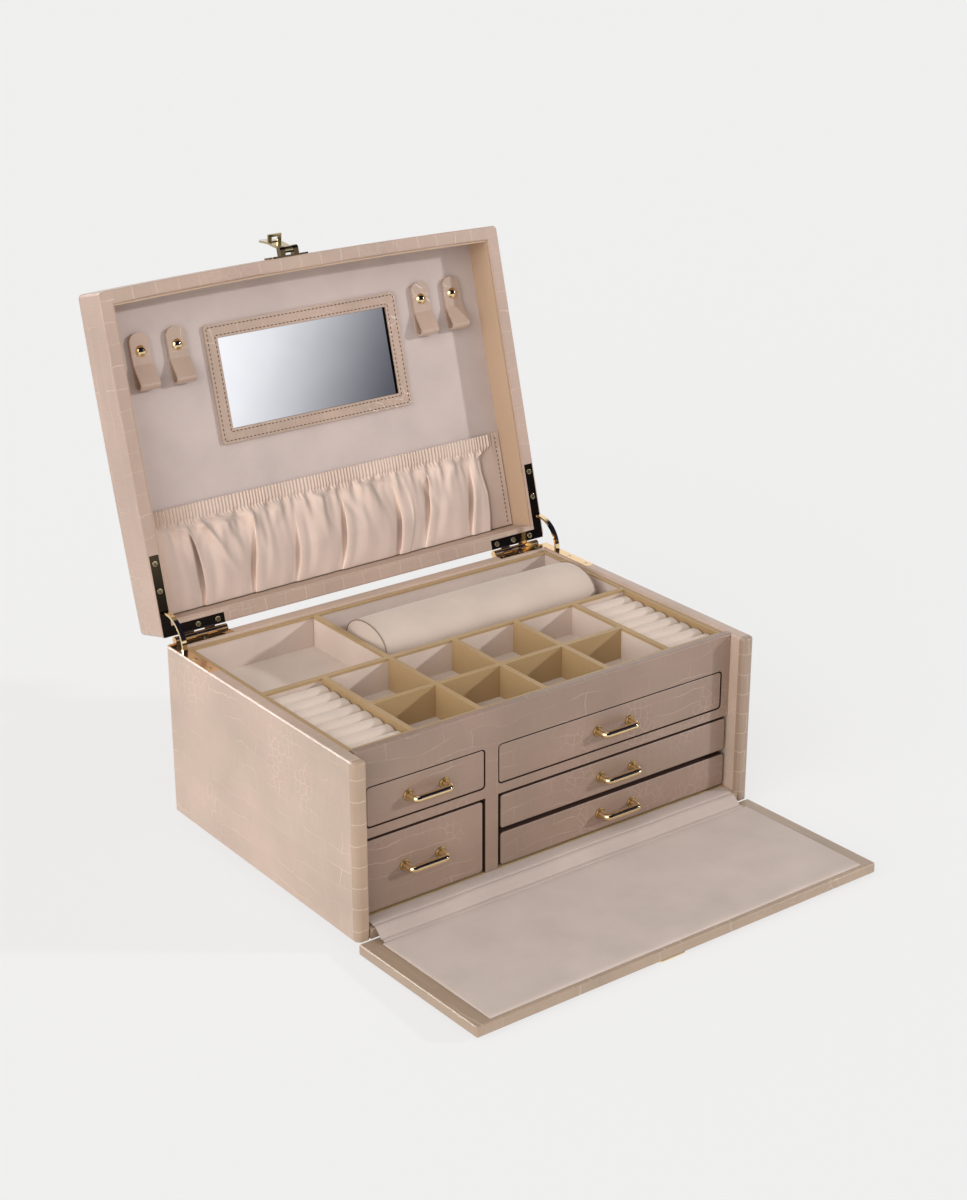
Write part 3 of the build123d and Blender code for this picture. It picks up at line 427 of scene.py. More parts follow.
def velvet_material(name, colour, olive_beyond=(), sheen=0.25, lean=0.0):
    """Velvet; beyond the given limits it turns to the olive edging. lean is how much lighter the colour
    is painted where the cloth turns to the left and darker where it turns to the right: a painted
    highlight and painted shade."""
    constants = {"Roughness": 0.95, "Specular_IOR_Level": 0.15}
    constants.update({"Sheen_Weight": sheen, "Sheen_Roughness": 0.45})
    material, tree, principled, place, facing = new_material(name, **constants)
    cloth = use_group(tree, nap, Place=place)
    # Painted highlight and shade: lighter where the cloth turns left, darker where it turns right.
    sideways = add_node(tree, "SeparateXYZ", [facing]).outputs[0]
    brushed = calc(tree, "MULTIPLY_ADD", sideways, -lean, 1.0)
    tone = calc(tree, "MULTIPLY", cloth["Tone"], brushed)
    tint = (*colour, 1)
    if olive_beyond:
        tint = mix_colour(tree, passed(tree, place, olive_beyond), tint, (*OLIVE, 1))
    tree.links.new(mix_colour(tree, 1.0, tint, tone, "MULTIPLY"), principled.inputs["Base Color"])
    connect_bump(tree, principled, cloth["Height"], 0.12, 0.35)
    return material


PINK, CREAM = (0.6, 0.505, 0.455), (0.62, 0.515, 0.445)
velvet = velvet_material("velvet", PINK)
lining_velvet = velvet_material("lining_velvet", (0.575, 0.482, 0.45))
floor_velvet = velvet_material("floor_velvet", (0.66, 0.56, 0.49))
cream_velvet = velvet_material("cream_velvet", CREAM)
ring_velvet = velvet_material("ring_velvet", (0.7, 0.585, 0.505))
strip_velvet = velvet_material("strip_velvet", (0.52, 0.43, 0.385))
pocket_velvet = velvet_material("pocket_velvet", (0.64, 0.505, 0.435), sheen=0.3, lean=0.62)
edging, front_walls = ((0, 0, 1), 124.0), ((0, -1, 0), -8.5)
outer_faces = [((1, 0, 0), 103.6), ((-1, 0, 0), 103.6)]
divider_velvet = velvet_material("divider_velvet", (0.68, 0.565, 0.495), [edging])
ring_divider_velvet = velvet_material(
    "ring_divider_velvet", (0.68, 0.565, 0.495), [edging, *outer_faces]
)
wall_velvet = velvet_material("wall_velvet", (0.66, 0.55, 0.49), [front_walls])
felt = velvet_material("felt", (0.05, 0.045, 0.04))
print("velvet finishes ready")

# %% [markdown]
# ## Olive leatherette, boards and thread
# These finishes are even, so a fine grain in colour and height is enough. Where one
# piece has two finishes, such as the lid's side lining with its leather band at the
# hinge, a limit on the place changes the colour.


# %% Plain finishes
def plain_material(name, colour, grain_size, grain_depth, beyond=(), second=None, matte=0.0, **constants):
    """Even finish with a fine grain: colour varies a little and the surface is slightly rough. Beyond
    the given limits it has the second colour and is rougher by the amount matte."""
    material, tree, principled, place, _ = new_material(name, **constants)
    grain = noise(tree, place, 1.0 / grain_size, 2.0).outputs[0]
    tone = calc(tree, "MULTIPLY_ADD", grain, 0.16, 0.92)
    tint = (*colour, 1)
    if beyond:
        mask = passed(tree, place, beyond)
        tint = mix_colour(tree, mask, tint, (*second, 1))
        dulled = calc(tree, "MULTIPLY_ADD", mask, matte, constants["Roughness"])
        tree.links.new(dulled, principled.inputs["Roughness"])
    tree.links.new(mix_colour(tree, 1.0, tint, tone, "MULTIPLY"), principled.inputs["Base Color"])
    connect_bump(tree, principled, grain, grain_depth, 0.4)
    return material


olive = plain_material("olive", OLIVE, 0.8, 0.08, Roughness=0.45)
# The hidden boards are dark brown, which also darkens the gaps round the drawers as painted shade.
board = plain_material("board", (0.09, 0.06, 0.045), 0.5, 0.05, Roughness=0.8)
hinge_band = [((0, -math.sin(lid_lean), -math.cos(lid_lean)), -166.6)]
tan_lining = plain_material(
    "tan_lining", (0.55, 0.385, 0.26), 1.2, 0.1, hinge_band, (0.5, 0.365, 0.29), Roughness=0.6
)
painted_slot_shade = plain_material("painted_slot_shade", (0.03, 0.022, 0.012), 0.5, 0.01, Roughness=0.5)
thread = plain_material("thread", (0.13, 0.085, 0.055), 0.3, 0.05, Roughness=0.8)
seam_thread = plain_material("seam_thread", (0.3, 0.215, 0.16), 0.3, 0.05, Roughness=0.8)
print("plain finishes ready")

# %% [markdown]
# ## Brass and mirror
# The brass is polished, so most of what it shows is the room: a pale floor, a dark
# front of the studio and bright light overhead. A slow change of colour keeps it from
# looking like plastic. The handles' rosettes are duller. The lid hinges' leaves are
# coloured dark as a painted reflection of the dark room, and their knuckles are gold. The
# mirror is silvered glass with a dark strip beside its frame, a painted reflection of the
# frame's inner edge.

# %% Metal finishes
brass = plain_material("brass", (0.83, 0.64, 0.36), 9.0, 0.002, Metallic=1.0, Roughness=0.07)
rosettes, knuckles, painted_frame_reflection = [((0, 1, 0), -98.8)], [((0, 0, -1), -131.4)], [((1, 0, 0), 66.2)]
handle_brass = plain_material(
    "handle_brass", (0.86, 0.68, 0.4), 9.0, 0.002, rosettes, (0.46, 0.31, 0.14), 0.4,
    Metallic=1.0, Roughness=0.09
)
# Painted reflection: the lid hinges' leaves are coloured dark as the dark room they reflect.
painted_dark_leaf_brass = plain_material(
    "painted_dark_leaf_brass", (0.2, 0.15, 0.085), 9.0, 0.002, knuckles, (0.84, 0.6, 0.33),
    Metallic=1.0, Roughness=0.1
)
dark_brass = plain_material("dark_brass", (0.17, 0.12, 0.065), 2.0, 0.004, Metallic=1.0, Roughness=0.14)
aged_brass = plain_material("aged_brass", (0.46, 0.38, 0.22), 2.0, 0.004, Metallic=1.0, Roughness=0.16)
leaf_brass = plain_material("leaf_brass", (0.86, 0.6, 0.33), 9.0, 0.002, Metallic=1.0, Roughness=0.16)
pale_brass = plain_material("pale_brass", (0.8, 0.66, 0.38), 3.0, 0.004, Metallic=1.0, Roughness=0.16)
# Painted reflection: a dark strip on the glass along the frame's right inner edge.
mirror = plain_material(
    "mirror", (0.9, 0.91, 0.93), 40.0, 0.0, painted_frame_reflection, (0.02, 0.02, 0.02),
    Metallic=1.0, Roughness=0.02
)
print("metal finishes ready")

# %% [markdown]
# ## Finishes on the measured pieces
# Pieces whose measured shape is already right keep it and only change their finish.
# Making them again here would only let the two models drift apart.


# %% Give the measured pieces their finishes
def finish_nodes(material, *names):
    """Gives each named piece the material as its only one."""
    for name in names:
        nodes[name].data.materials.clear()
        nodes[name].data.materials.append(material)


drawer_places = ("upper_left", "lower_left", "upper_right", "middle_right", "lower_right")
drawers = [place + "_drawer_" for place in drawer_places]
finish_nodes(leather, "left_side_panel", "rear_panel", "base_panel")
finish_nodes(right_leather, "right_side_panel")
finish_nodes(frame_leather, "front_frame")
finish_nodes(front_leather, *[d + "front" for d in drawers])
finish_nodes(velvet, *[d + "box" for d in drawers])
finish_nodes(lining_velvet, "lid_lining")
finish_nodes(wall_velvet, "tray_walls")
finish_nodes(handle_brass, *[d + "handle" for d in drawers])
finish_nodes(leaf_brass, "base_hinge_leaves", "hinge_pins")
finish_nodes(painted_dark_leaf_brass, "lid_hinge_leaves")
finish_nodes(brass, "stay_arms", "clasp_keeper", "strap_studs")
finish_nodes(dark_brass, "clasp_plate", "clasp_pin")
finish_nodes(aged_brass, "clasp_hasp")
finish_nodes(pale_brass, "base_hinge_screws", "lid_hinge_screws")
finish_nodes(lid_leather, "lid_walls", "lid_top")
finish_nodes(trim_leather, "mirror_frame", "strap_loops")
finish_nodes(flap_leather, "flap_board")
finish_nodes(floor_velvet, "tray_lining")
finish_nodes(divider_velvet, "row_divider", "rear_bay_divider")
finish_nodes(ring_divider_velvet, "ring_dividers")
finish_nodes(olive, "bay_liner", "tray_rim", "grid_long_divider", "grid_cross_dividers")
finish_nodes(board, "column_partition", "drawer_shelves", "drawer_runners", "tray_floor")
finish_nodes(felt, "plinth")
finish_nodes(tan_lining, "lid_side_lining")
finish_nodes(mirror, "mirror_glass")
print("finished", len(nodes), "measured pieces")

# %% [markdown]
# ## Smooth lines
# Cloth has no corners. Two small helpers draw a smooth line through a few points and
# ease a value in and out, and the soft pieces below are built from them.


# %% Smooth lines
def smooth_line(points, steps):
    """Points on a smooth curve through each row's points: between two neighbours the curve leaves and
    arrives along the line that joins the points on either side."""
    tightness = 0.42
    padded = np.concatenate([points[:, :1], points, points[:, -1:]], 1)
    before, start, end, after = padded[:, :-3], padded[:, 1:-2], padded[:, 2:-1], padded[:, 3:]
    t = np.linspace(0, 1, steps, endpoint=False)[None, None, :, None]
    leave, arrive = tightness * (end - before)[:, :, None], tightness * (after - start)[:, :, None]
    start, end = start[:, :, None], end[:, :, None]
    curve = (2 * t**3 - 3 * t**2 + 1) * start + (t**3 - 2 * t**2 + t) * leave
    curve = curve + (3 * t**2 - 2 * t**3) * end + (t**3 - t**2) * arrive
    curve = curve.reshape(len(points), -1, points.shape[-1])
    return np.concatenate([curve, points[:, -1:]], 1)


def ease(value):
    """Zero below 0, one above 1, and a smooth change between."""
    value = np.clip(value, 0, 1)
    return value * value * (3 - 2 * value)


print("smooth lines ready")

# %% [markdown]
# ## Folds of the pocket
# A length of velvet is shirred on elastic along its top edge and sewn flat along its
# foot, so the spare width falls in a few sharp folds with loose cloth between them.
# A cloth simulation would lay the folds where it likes. These follow the real pocket,
# so each has a line across the pocket's height, a size and a height where it is deepest.

# %% Folds of the pocket
pocket_left, pocket_right = -149.0, 149.0
pocket_foot, gathering, hem_top = 10.0, 70.0, 80.4
# How far across each fold stands at five heights, mm, then its size, the height of its peak,
# the room to its right, and how far the cloth between the folds swells out.
fold_heights = np.array([9.0, 24.0, 39.0, 54.0, 69.0])
fold_places = np.array(
    [
        [-115.0, -112.5, -111.7, -114.7, -120.6],
        [-74.7, -72.3, -69.6, -67.8, -72.0],
        [-42.4, -36.6, -34.6, -33.4, -32.0],
        [-5.2, 2.0, 5.0, 6.4, 7.6],
        [44.0, 49.7, 51.5, 50.6, 47.2],
        [67.2, 72.6, 77.3, 79.3, 79.1],
        [109.7, 112.6, 116.6, 118.2, 119.4],
    ]
)
fold_size = np.array([1.2, 0.95, 0.8, 1.0, 1.1, 1.05, 1.1])[:, None, None]
fold_peak = np.array([40.0, 33.0, 30.0, 38.0, 28.0, 44.0, 36.0])[:, None]
fold_room = np.array([1.0, 1.0, 1.0, 1.0, 1.0, 1.0, 0.5])[:, None, None]
swell_size = np.array([0.8, 1.7, 1.2, 1.5, 1.7, 1.0, 1.4, 0.6])


def loose_creases(x, up):
    """Soft ridges and dents that hang from the elastic: each is a bell across X whose middle drifts as
    it runs down and whose size fades away below the gathering."""
    chance, count = np.random.default_rng(11), 44
    start, drift = chance.uniform(-142, 122, count), chance.uniform(-0.55, 0.25, count)
    width, length = chance.uniform(2.6, 6.5, count), chance.uniform(16, 52, count)
    size = chance.uniform(1.3, 3.4, count) * np.where(chance.random(count) < 0.5, -0.6, 1.0)
    down = np.clip(69.0 - up, 0, None)[..., None]
    bell = np.exp(-(((x[..., None] - start + drift * down) / width) ** 2))
    run = ease(down / 5) * (1 - ease(down / length))
    return (size * bell * run).sum(-1)


def fold_points(up):
    """Where each fold stands in every row, and its ten points as across and rise. Where the fold is
    strong the cloth dips, steps back under the next panel and comes out again as that panel's rounded
    edge; where it is weak the points lie level and evenly spaced. Like a leaf, it is strongest at its
    peak."""
    leaf = np.exp(-(((up - fold_peak) / np.where(up > fold_peak, 17.0, 21.0)) ** 2))
    strength = (0.34 + 0.66 * leaf) * (1 - ease((up - 58) / 10))
    curves = [np.polyfit(fold_heights, row, 3) for row in fold_places]
    places = np.stack([np.polyval(curve, np.minimum(up, gathering)) for curve in curves])
    fold_step = np.array([-12.0, -6.5, -2.2, 1.4, 2.4, 0.6, -1.2, 0.2, 3.0, 8.0])
    flat_step = np.linspace(fold_step[0], fold_step[-1], len(fold_step))
    fold_rise = np.array([0.6, -0.3, -1.3, -1.5, -0.6, 0.6, 1.6, 2.2, 2.1, 1.4])
    share = strength[:, :, None] * fold_size
    step = flat_step + share * (fold_step - flat_step)
    across = places[:, :, None] + np.where(step > 0, step * fold_room, step)
    return places, across, share * fold_rise


print(len(fold_places), "folds,", len(swell_size), "panels of cloth between them")

# %% [markdown]
# ## Gathered pocket
# Each row of the surface is one smooth line through a list of points: where a fold
# stands, the line doubles back under itself, and near the elastic the same points
# spread out into small even ripples.


# %% Shape the pocket
def pocket_lines(up, right_edge):
    """One smooth line in every row, as across and rise: panels and folds in turn between the two tacked
    ends. Each panel adds two points that swell out. Near the gathering the points spread evenly between
    the folds."""
    places, fold_x, fold_lift = fold_points(up)
    left_tack, right_tack, least_edge = -143.0, 144.0, 126
    level = np.clip((up - pocket_foot) / (gathering - pocket_foot), 0, 1)
    belly = (np.sin(np.pi * level) ** 0.8 * (1 - ease((up - 62) / 8)))[:, None]
    column = np.ones_like(up)
    last = np.maximum(right_edge, least_edge)
    left = np.stack([pocket_left * column, left_tack * column], -1)
    right = np.stack([last, right_edge + 4, right_tack * column, pocket_right * column], -1)
    starts = np.concatenate([[left_tack * column], fold_x[:, :, -1]])
    ends = np.concatenate([fold_x[:, :, 0], [last - 0.6]])
    parts_x, parts_rise = [left], [np.zeros_like(left)]
    for panel, swell in enumerate(swell_size):
        span = (ends[panel] - starts[panel])[:, None]
        parts_x.append(starts[panel][:, None] + span * np.array([0.3, 0.68]))
        parts_rise.append(swell * belly * np.array([1.5, 0.9]))
        if panel < len(fold_places):
            parts_x.append(fold_x[panel])
            parts_rise.append(fold_lift[panel])
    parts_x.append(right)
    parts_rise.append(np.zeros_like(right))
    steps, first_crest, points_apart = 10, 11, 12
    line = smooth_line(np.stack([np.concatenate(parts_x, 1), np.concatenate(parts_rise, 1)], -1), steps)
    crests = first_crest + points_apart * np.arange(len(fold_places))
    hold = np.concatenate([[0], steps * crests, [line.shape[1] - 1]])
    hold_x = np.concatenate([[pocket_left], places[:, 0], [pocket_right]])
    even = np.interp(np.arange(line.shape[1]), hold, hold_x)[None, :]
    gather = ease((up - 62) / 7.5)[:, None]
    return line[..., 0] * (1 - gather) + even * gather, line[..., 1]


def pocket_surface():
    """Rows run from the inside of the hem, over the top edge and down to the foot. The cloth stands off
    the lining by its slack, folds and creases; above the gathering small ripples take their place, and
    they run down from it as flutes that fade."""
    hem, band = [73.0, 76.0, 79.0, 80.2], np.linspace(hem_top, gathering, 12)
    up = np.concatenate([hem, band, np.linspace(69.2, 10.6, 54), [10.5]])
    behind = np.concatenate([[1.0, 1.0, 0.9, 0.5], np.zeros(len(up) - len(hem))])
    right_edge = np.interp(up, [9, 24, 39, 54, 66, 72], [125.0, 127.4, 128.0, 126.0, 126.0, 138.0])
    x, rise = pocket_lines(up, right_edge)
    edge = ease((x - pocket_left + 0.6) / 4) * (1 - 0.86 * ease((x - right_edge[:, None]) / 5))
    body = 0.8 * np.interp(up, [10, 11, 36, 71, 80], [5.2, 5.4, 6.0, 2.6, 2.4])[:, None]
    phase = 2 * np.pi * x / 2.6 + 1.1 * np.sin(x / 9) + 0.8 * np.sin(x / 4.3 + 2)
    ripple = 0.62 * np.sin(phase) * (0.8 + 0.2 * np.sin(x / 11 + 1))
    near_top = ease((up - 64) / 6)[:, None]
    pinch = -0.6 * np.exp(-(((up - 70.2) / 1.1) ** 2))[:, None]
    flute = 1.1 * np.sin(2 * np.pi * x / 10.5 + 2.2 * np.sin(x / 23))
    flute = flute + 0.7 * np.sin(2 * np.pi * x / 6.6 + x / 31)
    fade = (np.exp(-np.clip(gathering - up, 0, 99) / 9) * (1 - ease((up - 68) / 3)))[:, None]
    out = body * (1 - near_top) + (1.7 + ripple) * near_top + pinch + rise + flute * fade
    out = 0.35 + edge * (out + loose_creases(x, up[:, None])) - behind[:, None]
    out[-1] = 0.2
    return on_lid(x, up[:, None] + np.zeros_like(x), lid_lining_deep - np.maximum(out, 0.1))


pocket_points = pocket_surface()
pocket_faces = grid_faces(*pocket_points.shape[:2])
pocket = make_piece(
    "lid_pocket_cloth", pocket_points, pocket_faces, pocket_velvet, "lid", ["lid_pocket"]
)

# %% [markdown]
# ## Painted shade line at the pocket's foot
# The pocket's foot is sewn to the lining, and a thin line of shade lies along it. A round
# section in the dark thread colour, carried along the foot, paints that shade.

# %% Paint the shade line at the foot
foot_line, shade_line_radius, shade_line_sides = pocket_points[-2, ::3], 0.6, 6
around = np.linspace(0, 2 * np.pi, shade_line_sides, endpoint=False)[None, :, None]
section = np.cos(around) * np.array([0, 1.0, 0]) + np.sin(around) * np.array([0, 0, 1.0])
foot_shade_line = foot_line[:, None] + shade_line_radius * section
foot_faces = grid_faces(len(foot_line), shade_line_sides, round_columns=True)
# Painted shade: a thin dark tube along the foot, where the cloth meets the lining.
make_piece("lid_pocket_foot_shade_line", foot_shade_line, foot_faces, thread, "lid")

# %% [markdown]
# ## Filling the ring pads and the bracelet roll
# Both are velvet covers over soft filling. A formula gives their form, but not the give
# of the filling. So each starts a little slim, as a sewn cover, and a short cloth
# simulation fills it with air pressure. The sewn lines are pinned, and no point may
# move further than the space it lies in allows.


# %% Fill a cover
def fill_cover(piece, sewn, reach):
    """Twenty frames of cloth under pressure, without gravity; each point then keeps at most reach mm of
    its move."""
    mesh, frames = piece.data, 20
    start = np.empty(len(mesh.vertices) * 3, np.float32)
    mesh.vertices.foreach_get("co", start)
    piece.vertex_groups.new(name="sewn").add(np.flatnonzero(sewn).tolist(), 1.0, "REPLACE")
    cloth = piece.modifiers.new("filling", "CLOTH")
    cloth.settings.quality = 6
    cloth.settings.use_pressure = True
    cloth.settings.uniform_pressure_force = 4
    cloth.settings.tension_stiffness = 12
    cloth.settings.compression_stiffness = 12
    cloth.settings.bending_stiffness = 0.3
    cloth.settings.effector_weights.gravity = 0
    cloth.settings.vertex_group_mass = "sewn"
    for frame_number in range(1, frames + 1):
        bpy.context.scene.frame_set(frame_number)
    ready = piece.evaluated_get(bpy.context.evaluated_depsgraph_get()).to_mesh()
    filled = np.empty_like(start)
    ready.vertices.foreach_get("co", filled)
    move = (filled - start).reshape(-1, 3)
    piece.modifiers.remove(cloth)
    bpy.context.scene.frame_set(1)
    size = np.linalg.norm(move, axis=1, keepdims=True) + 1e-9
    move *= np.minimum(size, reach * mm) / size
    mesh.vertices.foreach_set("co", start + move.ravel())
    mesh.update()
    print(piece.name, "largest move, mm:", round(float(size.max()) / mm, 2))
    smooth = piece.modifiers.new("smooth", "SUBSURF")
    smooth.levels = smooth.render_levels = 1
    return piece


print("cover filling ready")

# %% [markdown]
# ## Ring pads
# A ring pad is a row of eight rolls of cream velvet, sewn down between them, so that
# rings push into the slots. Eight tubes would leave gaps between them, so the top is one
# surface, a row of half rounds, and the ends turn over.


# %% Make the ring pads
def ring_pad(name, left_edge, right_edge):
    """Top height is the sewn level plus a half round per roll; it turns down at both ends of the rolls.
    Below, a flat base has the same columns, and the rims join top to base."""
    rolls, front_edge, pitch = 8, -87.6, 11.97
    sewn_level, roll_rise, base_level, end_round = 115.6, 7.4, 104.3, 2.0
    spread = np.array([0, 0.03, 0.08, 0.15, 0.25, 0.38, 0.5, 0.62, 0.75, 0.85, 0.92, 0.97])
    turn = np.append(np.tile(spread, rolls), 0.0)
    y = front_edge + pitch * (turn + np.append(np.repeat(np.arange(rolls), len(spread)), rolls))
    arch = np.clip(1 - np.abs(2 * turn - 1) ** 3, 0, 1) ** (1 / 3)
    length = right_edge - left_edge
    along = with_rims(0.0, length, [0, 0.4, 1.0], end_round, 17)
    from_end = np.minimum(along, along[::-1])
    round_end = 1 - np.sqrt(np.clip(1 - (1 - np.clip(from_end / end_round, 0, 1)) ** 2, 0, 1))
    top = sewn_level + roll_rise * arch[None, :] - round_end[:, None] * (0.6 + 1.6 * arch[None, :])
    base = np.full_like(top, base_level)
    x = np.broadcast_to((left_edge + along)[:, None], top.shape)
    points = np.stack([np.stack([x, np.broadcast_to(y, top.shape), z], -1) for z in (top, base)])
    rows, columns = top.shape
    upper = grid_faces(rows, columns)
    number = np.arange(rows * columns).reshape(rows, columns)
    rim = np.concatenate([number[0, :], number[1:, -1], number[-1, -2::-1], number[-2:0:-1, 0]])
    following = np.roll(rim, -1)
    side = np.stack([rim, following, following + rows * columns, rim + rows * columns], -1)
    faces = np.concatenate([upper, upper[:, ::-1] + rows * columns, side])
    sewn = np.stack([np.broadcast_to(arch[None, :] < 0.1, top.shape), np.ones_like(top, bool)])
    pad = make_piece(name + "_cover", points, faces, ring_velvet, "carcass", [name])
    fill_cover(pad, sewn.ravel(), 0.7)


ring_pad("left_ring_pad", -146.5, -105.1)
ring_pad("right_ring_pad", 105.1, 146.5)

# %% [markdown]
# ## Bracelet roll
# The roll is a long bolster that lies loose in the rear bay: an oval tube of cream
# velvet with a slightly domed cap sewn into each end, and a thin cord in the seam. A
# plain tube would look hard, so its rings draw in towards the seams as sewn cloth does.

# %% Make the bracelet roll
roll_y, roll_z = 50.81, 119.5
roll_half_depth, roll_half_height = 25.0, 15.4
roll_left, roll_right = -41.7, 137.0


def oval(angle, size):
    """Points of an oval that is a little flat on its underside: the lower half is pressed to 0.94 of
    its height."""
    pressed = np.where(np.sin(angle) < 0, 0.94, 1.0)
    y = roll_y + roll_half_depth * size * np.cos(angle)
    z = roll_z + roll_half_height * size * np.sin(angle) * pressed
    return y, z


def bracelet_roll():
    """Rings of the oval along X, closer together and drawn in towards the seams; the caps shrink the
    ring as they dome outwards, and close on a middle point. Gives points, faces and the sewn ones."""
    rings, columns = 44, 48
    shrink = np.array([0.16, 0.4, 0.6, 0.75, 0.84, 0.895, 0.92])
    dome = 5.6 * (1 - (shrink / 0.93) ** 2)
    first_seam = len(shrink)
    last_seam = first_seam + rings + 1
    spread = np.linspace(-1, 1, rings)
    centre, half = (roll_left + roll_right) / 2, (roll_right - roll_left) / 2 - 0.5
    middle = centre + half * (0.55 * spread + 0.45 * np.sin(np.pi * spread / 2))
    x = np.concatenate([roll_left - dome, [roll_left], middle, [roll_right], roll_right + dome[::-1]])
    size = np.concatenate([shrink, [0.925], np.full(rings, 0.985), [0.925], shrink[::-1]])
    size[first_seam + 1 : last_seam] -= 0.055 * np.exp(-(half - np.abs(middle - centre)) / 4.5)
    angle = np.linspace(0, 2 * np.pi, columns, endpoint=False)
    y, z = oval(angle[None, :], size[:, None])
    tube = np.stack([np.broadcast_to(x[:, None], y.shape), y, z], -1)
    poles = np.array([[x[0] - 0.15, roll_y, roll_z], [x[-1] + 0.15, roll_y, roll_z]])
    rows = len(x)
    faces = grid_faces(rows, columns, round_columns=True)[:, ::-1].tolist()
    first, last = np.arange(columns), np.arange(columns) + (rows - 1) * columns
    faces += np.stack([np.full(columns, rows * columns), np.roll(first, -1), first], -1).tolist()
    faces += np.stack([np.full(columns, rows * columns + 1), last, np.roll(last, -1)], -1).tolist()
    sewn = np.repeat(np.isin(np.arange(rows), [first_seam, last_seam]), columns)
    return np.concatenate([tube.reshape(-1, 3), poles]), faces, np.append(sewn, [True, True])


roll_points, roll_faces, roll_sewn = bracelet_roll()
roll = make_piece(
    "bracelet_roll_cover", roll_points, roll_faces, cream_velvet, "roll", ["bracelet_roll"]
)
fill_cover(roll, roll_sewn, 0.5)

# %% [markdown]
# ## Velvet panel of the flap
# The inner face of the flap is a thin padded panel of velvet glued to the board. Its
# edge turns down softly and its face is never quite flat. A formula is enough for such
# small unevenness.


# %% Make the flap's panel
def flap_cushion():
    """Height over the board is full in the middle and falls along a quarter round at the edges; two slow
    waves make the face uneven."""
    left, right, near, far, edge_round = -148.4, 149.6, 9.6, 116.6, 1.8
    rim = [0, 0.2, 0.8]
    across = with_rims(left, right, rim, edge_round, 60)[None, :]
    out = with_rims(near, far, rim, edge_round, 24)[:, None]
    from_sides, from_ends = np.minimum(across - left, right - across), np.minimum(out - near, far - out)
    edge = np.minimum(from_sides, from_ends)
    round_over = np.sqrt(np.clip(1 - (1 - np.clip(edge / edge_round, 0, 1)) ** 2, 0, 1))
    wave = 0.14 * np.sin(across / 23 + out / 31) + 0.1 * np.sin(across / 11 - out / 17)
    rise = 0.05 + round_over * (1.35 + wave)
    return on_flap(across, rise, out)


panel_points = flap_cushion()
panel_faces = grid_faces(*panel_points.shape[:2])
panel = make_piece(
    "flap_panel_cushion", panel_points, panel_faces, velvet, "flap", ["flap_panel"]
)

# %% [markdown]
# ## Soft hinge of the flap
# A strip of velvet is glued to the ledge under the drawers and to the flap, and bends
# between them. Two gutters are pressed into it so that it folds where it should. One
# profile carried along X shapes it as it lies with the flap lowered.


# %% Make the hinge strip
def hinge_strip():
    """One smooth line from the ledge over the edge and down to the flap, with two shallow dips, drawn
    out along X. Slow waves make the free part uneven."""
    place = np.array(
        [
            [-97.7, 14.9], [-100.5, 15.1], [-104.0, 15.2], [-106.6, 14.9], [-108.0, 14.2],
            [-109.6, 14.4], [-111.2, 13.7], [-113.2, 12.0], [-115.2, 10.3], [-116.6, 9.0],
            [-118.0, 9.1], [-119.3, 8.9], [-120.2, 8.2],
        ]
    )
    half_width = 147.2
    line = smooth_line(place[None], 5)[0]
    across = np.linspace(-half_width, half_width, 61)
    wave = 0.12 * np.sin(across / 13)[None, :] + 0.1 * np.sin(across / 29 + 1)[None, :]
    y = line[:, :1] + 0 * across[None, :]
    z = line[:, 1:] + wave * ease((-100 - line[:, :1]) / 4)
    return np.stack([np.broadcast_to(across, y.shape), y, z], -1)


strip_points = hinge_strip()
strip_faces = grid_faces(*strip_points.shape[:2])
strip = make_piece(
    "flap_hinge_cloth", strip_points, strip_faces, strip_velvet, None, ["flap_hinge_strip"]
)
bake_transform(strip)

# %% [markdown]
# ## Cord in the roll's seams
# A thin brown cord is sewn into the seam at each end of the roll. It could be a curve
# with a thickness; as a round section carried along the oval it follows the same
# formula as the roll.

# %% Make the seam cords
cord_rings, cord_sides, cord_radius = 72, 8, 0.42


def seam_cord(x):
    """A small circle carried round the oval: each section stands on the oval's outward direction and X."""
    angle = np.linspace(0, 2 * np.pi, cord_rings, endpoint=False)
    y, z = oval(angle, 0.936)
    outward = np.stack([0 * y, np.cos(angle) * roll_half_height, np.sin(angle) * roll_half_depth], -1)
    outward /= np.linalg.norm(outward, axis=-1, keepdims=True)
    centre = np.stack([np.full_like(y, x), y, z], -1)
    turn = np.linspace(0, 2 * np.pi, cord_sides, endpoint=False)[None, :, None]
    section = np.cos(turn) * outward[:, None] + np.sin(turn) * np.array([1.0, 0, 0])
    return centre[:, None] + cord_radius * section


cords = np.concatenate([seam_cord(roll_left), seam_cord(roll_right)])
one_cord = grid_faces(cord_rings, cord_sides, True, True)
cord_faces = np.concatenate([one_cord, one_cord + cord_rings * cord_sides])
make_piece("bracelet_roll_seams", cords, cord_faces, seam_thread, "roll")

# %% [markdown]
# ## Stitches
# The mirror's frame is sewn down with two rows of thread and the pocket's ends with
# one. Drawn stitches would look flat in the side light, so one small raised stitch is
# shaped once and set down along straight runs.

# %% Sew the stitches
stitch_side = 5


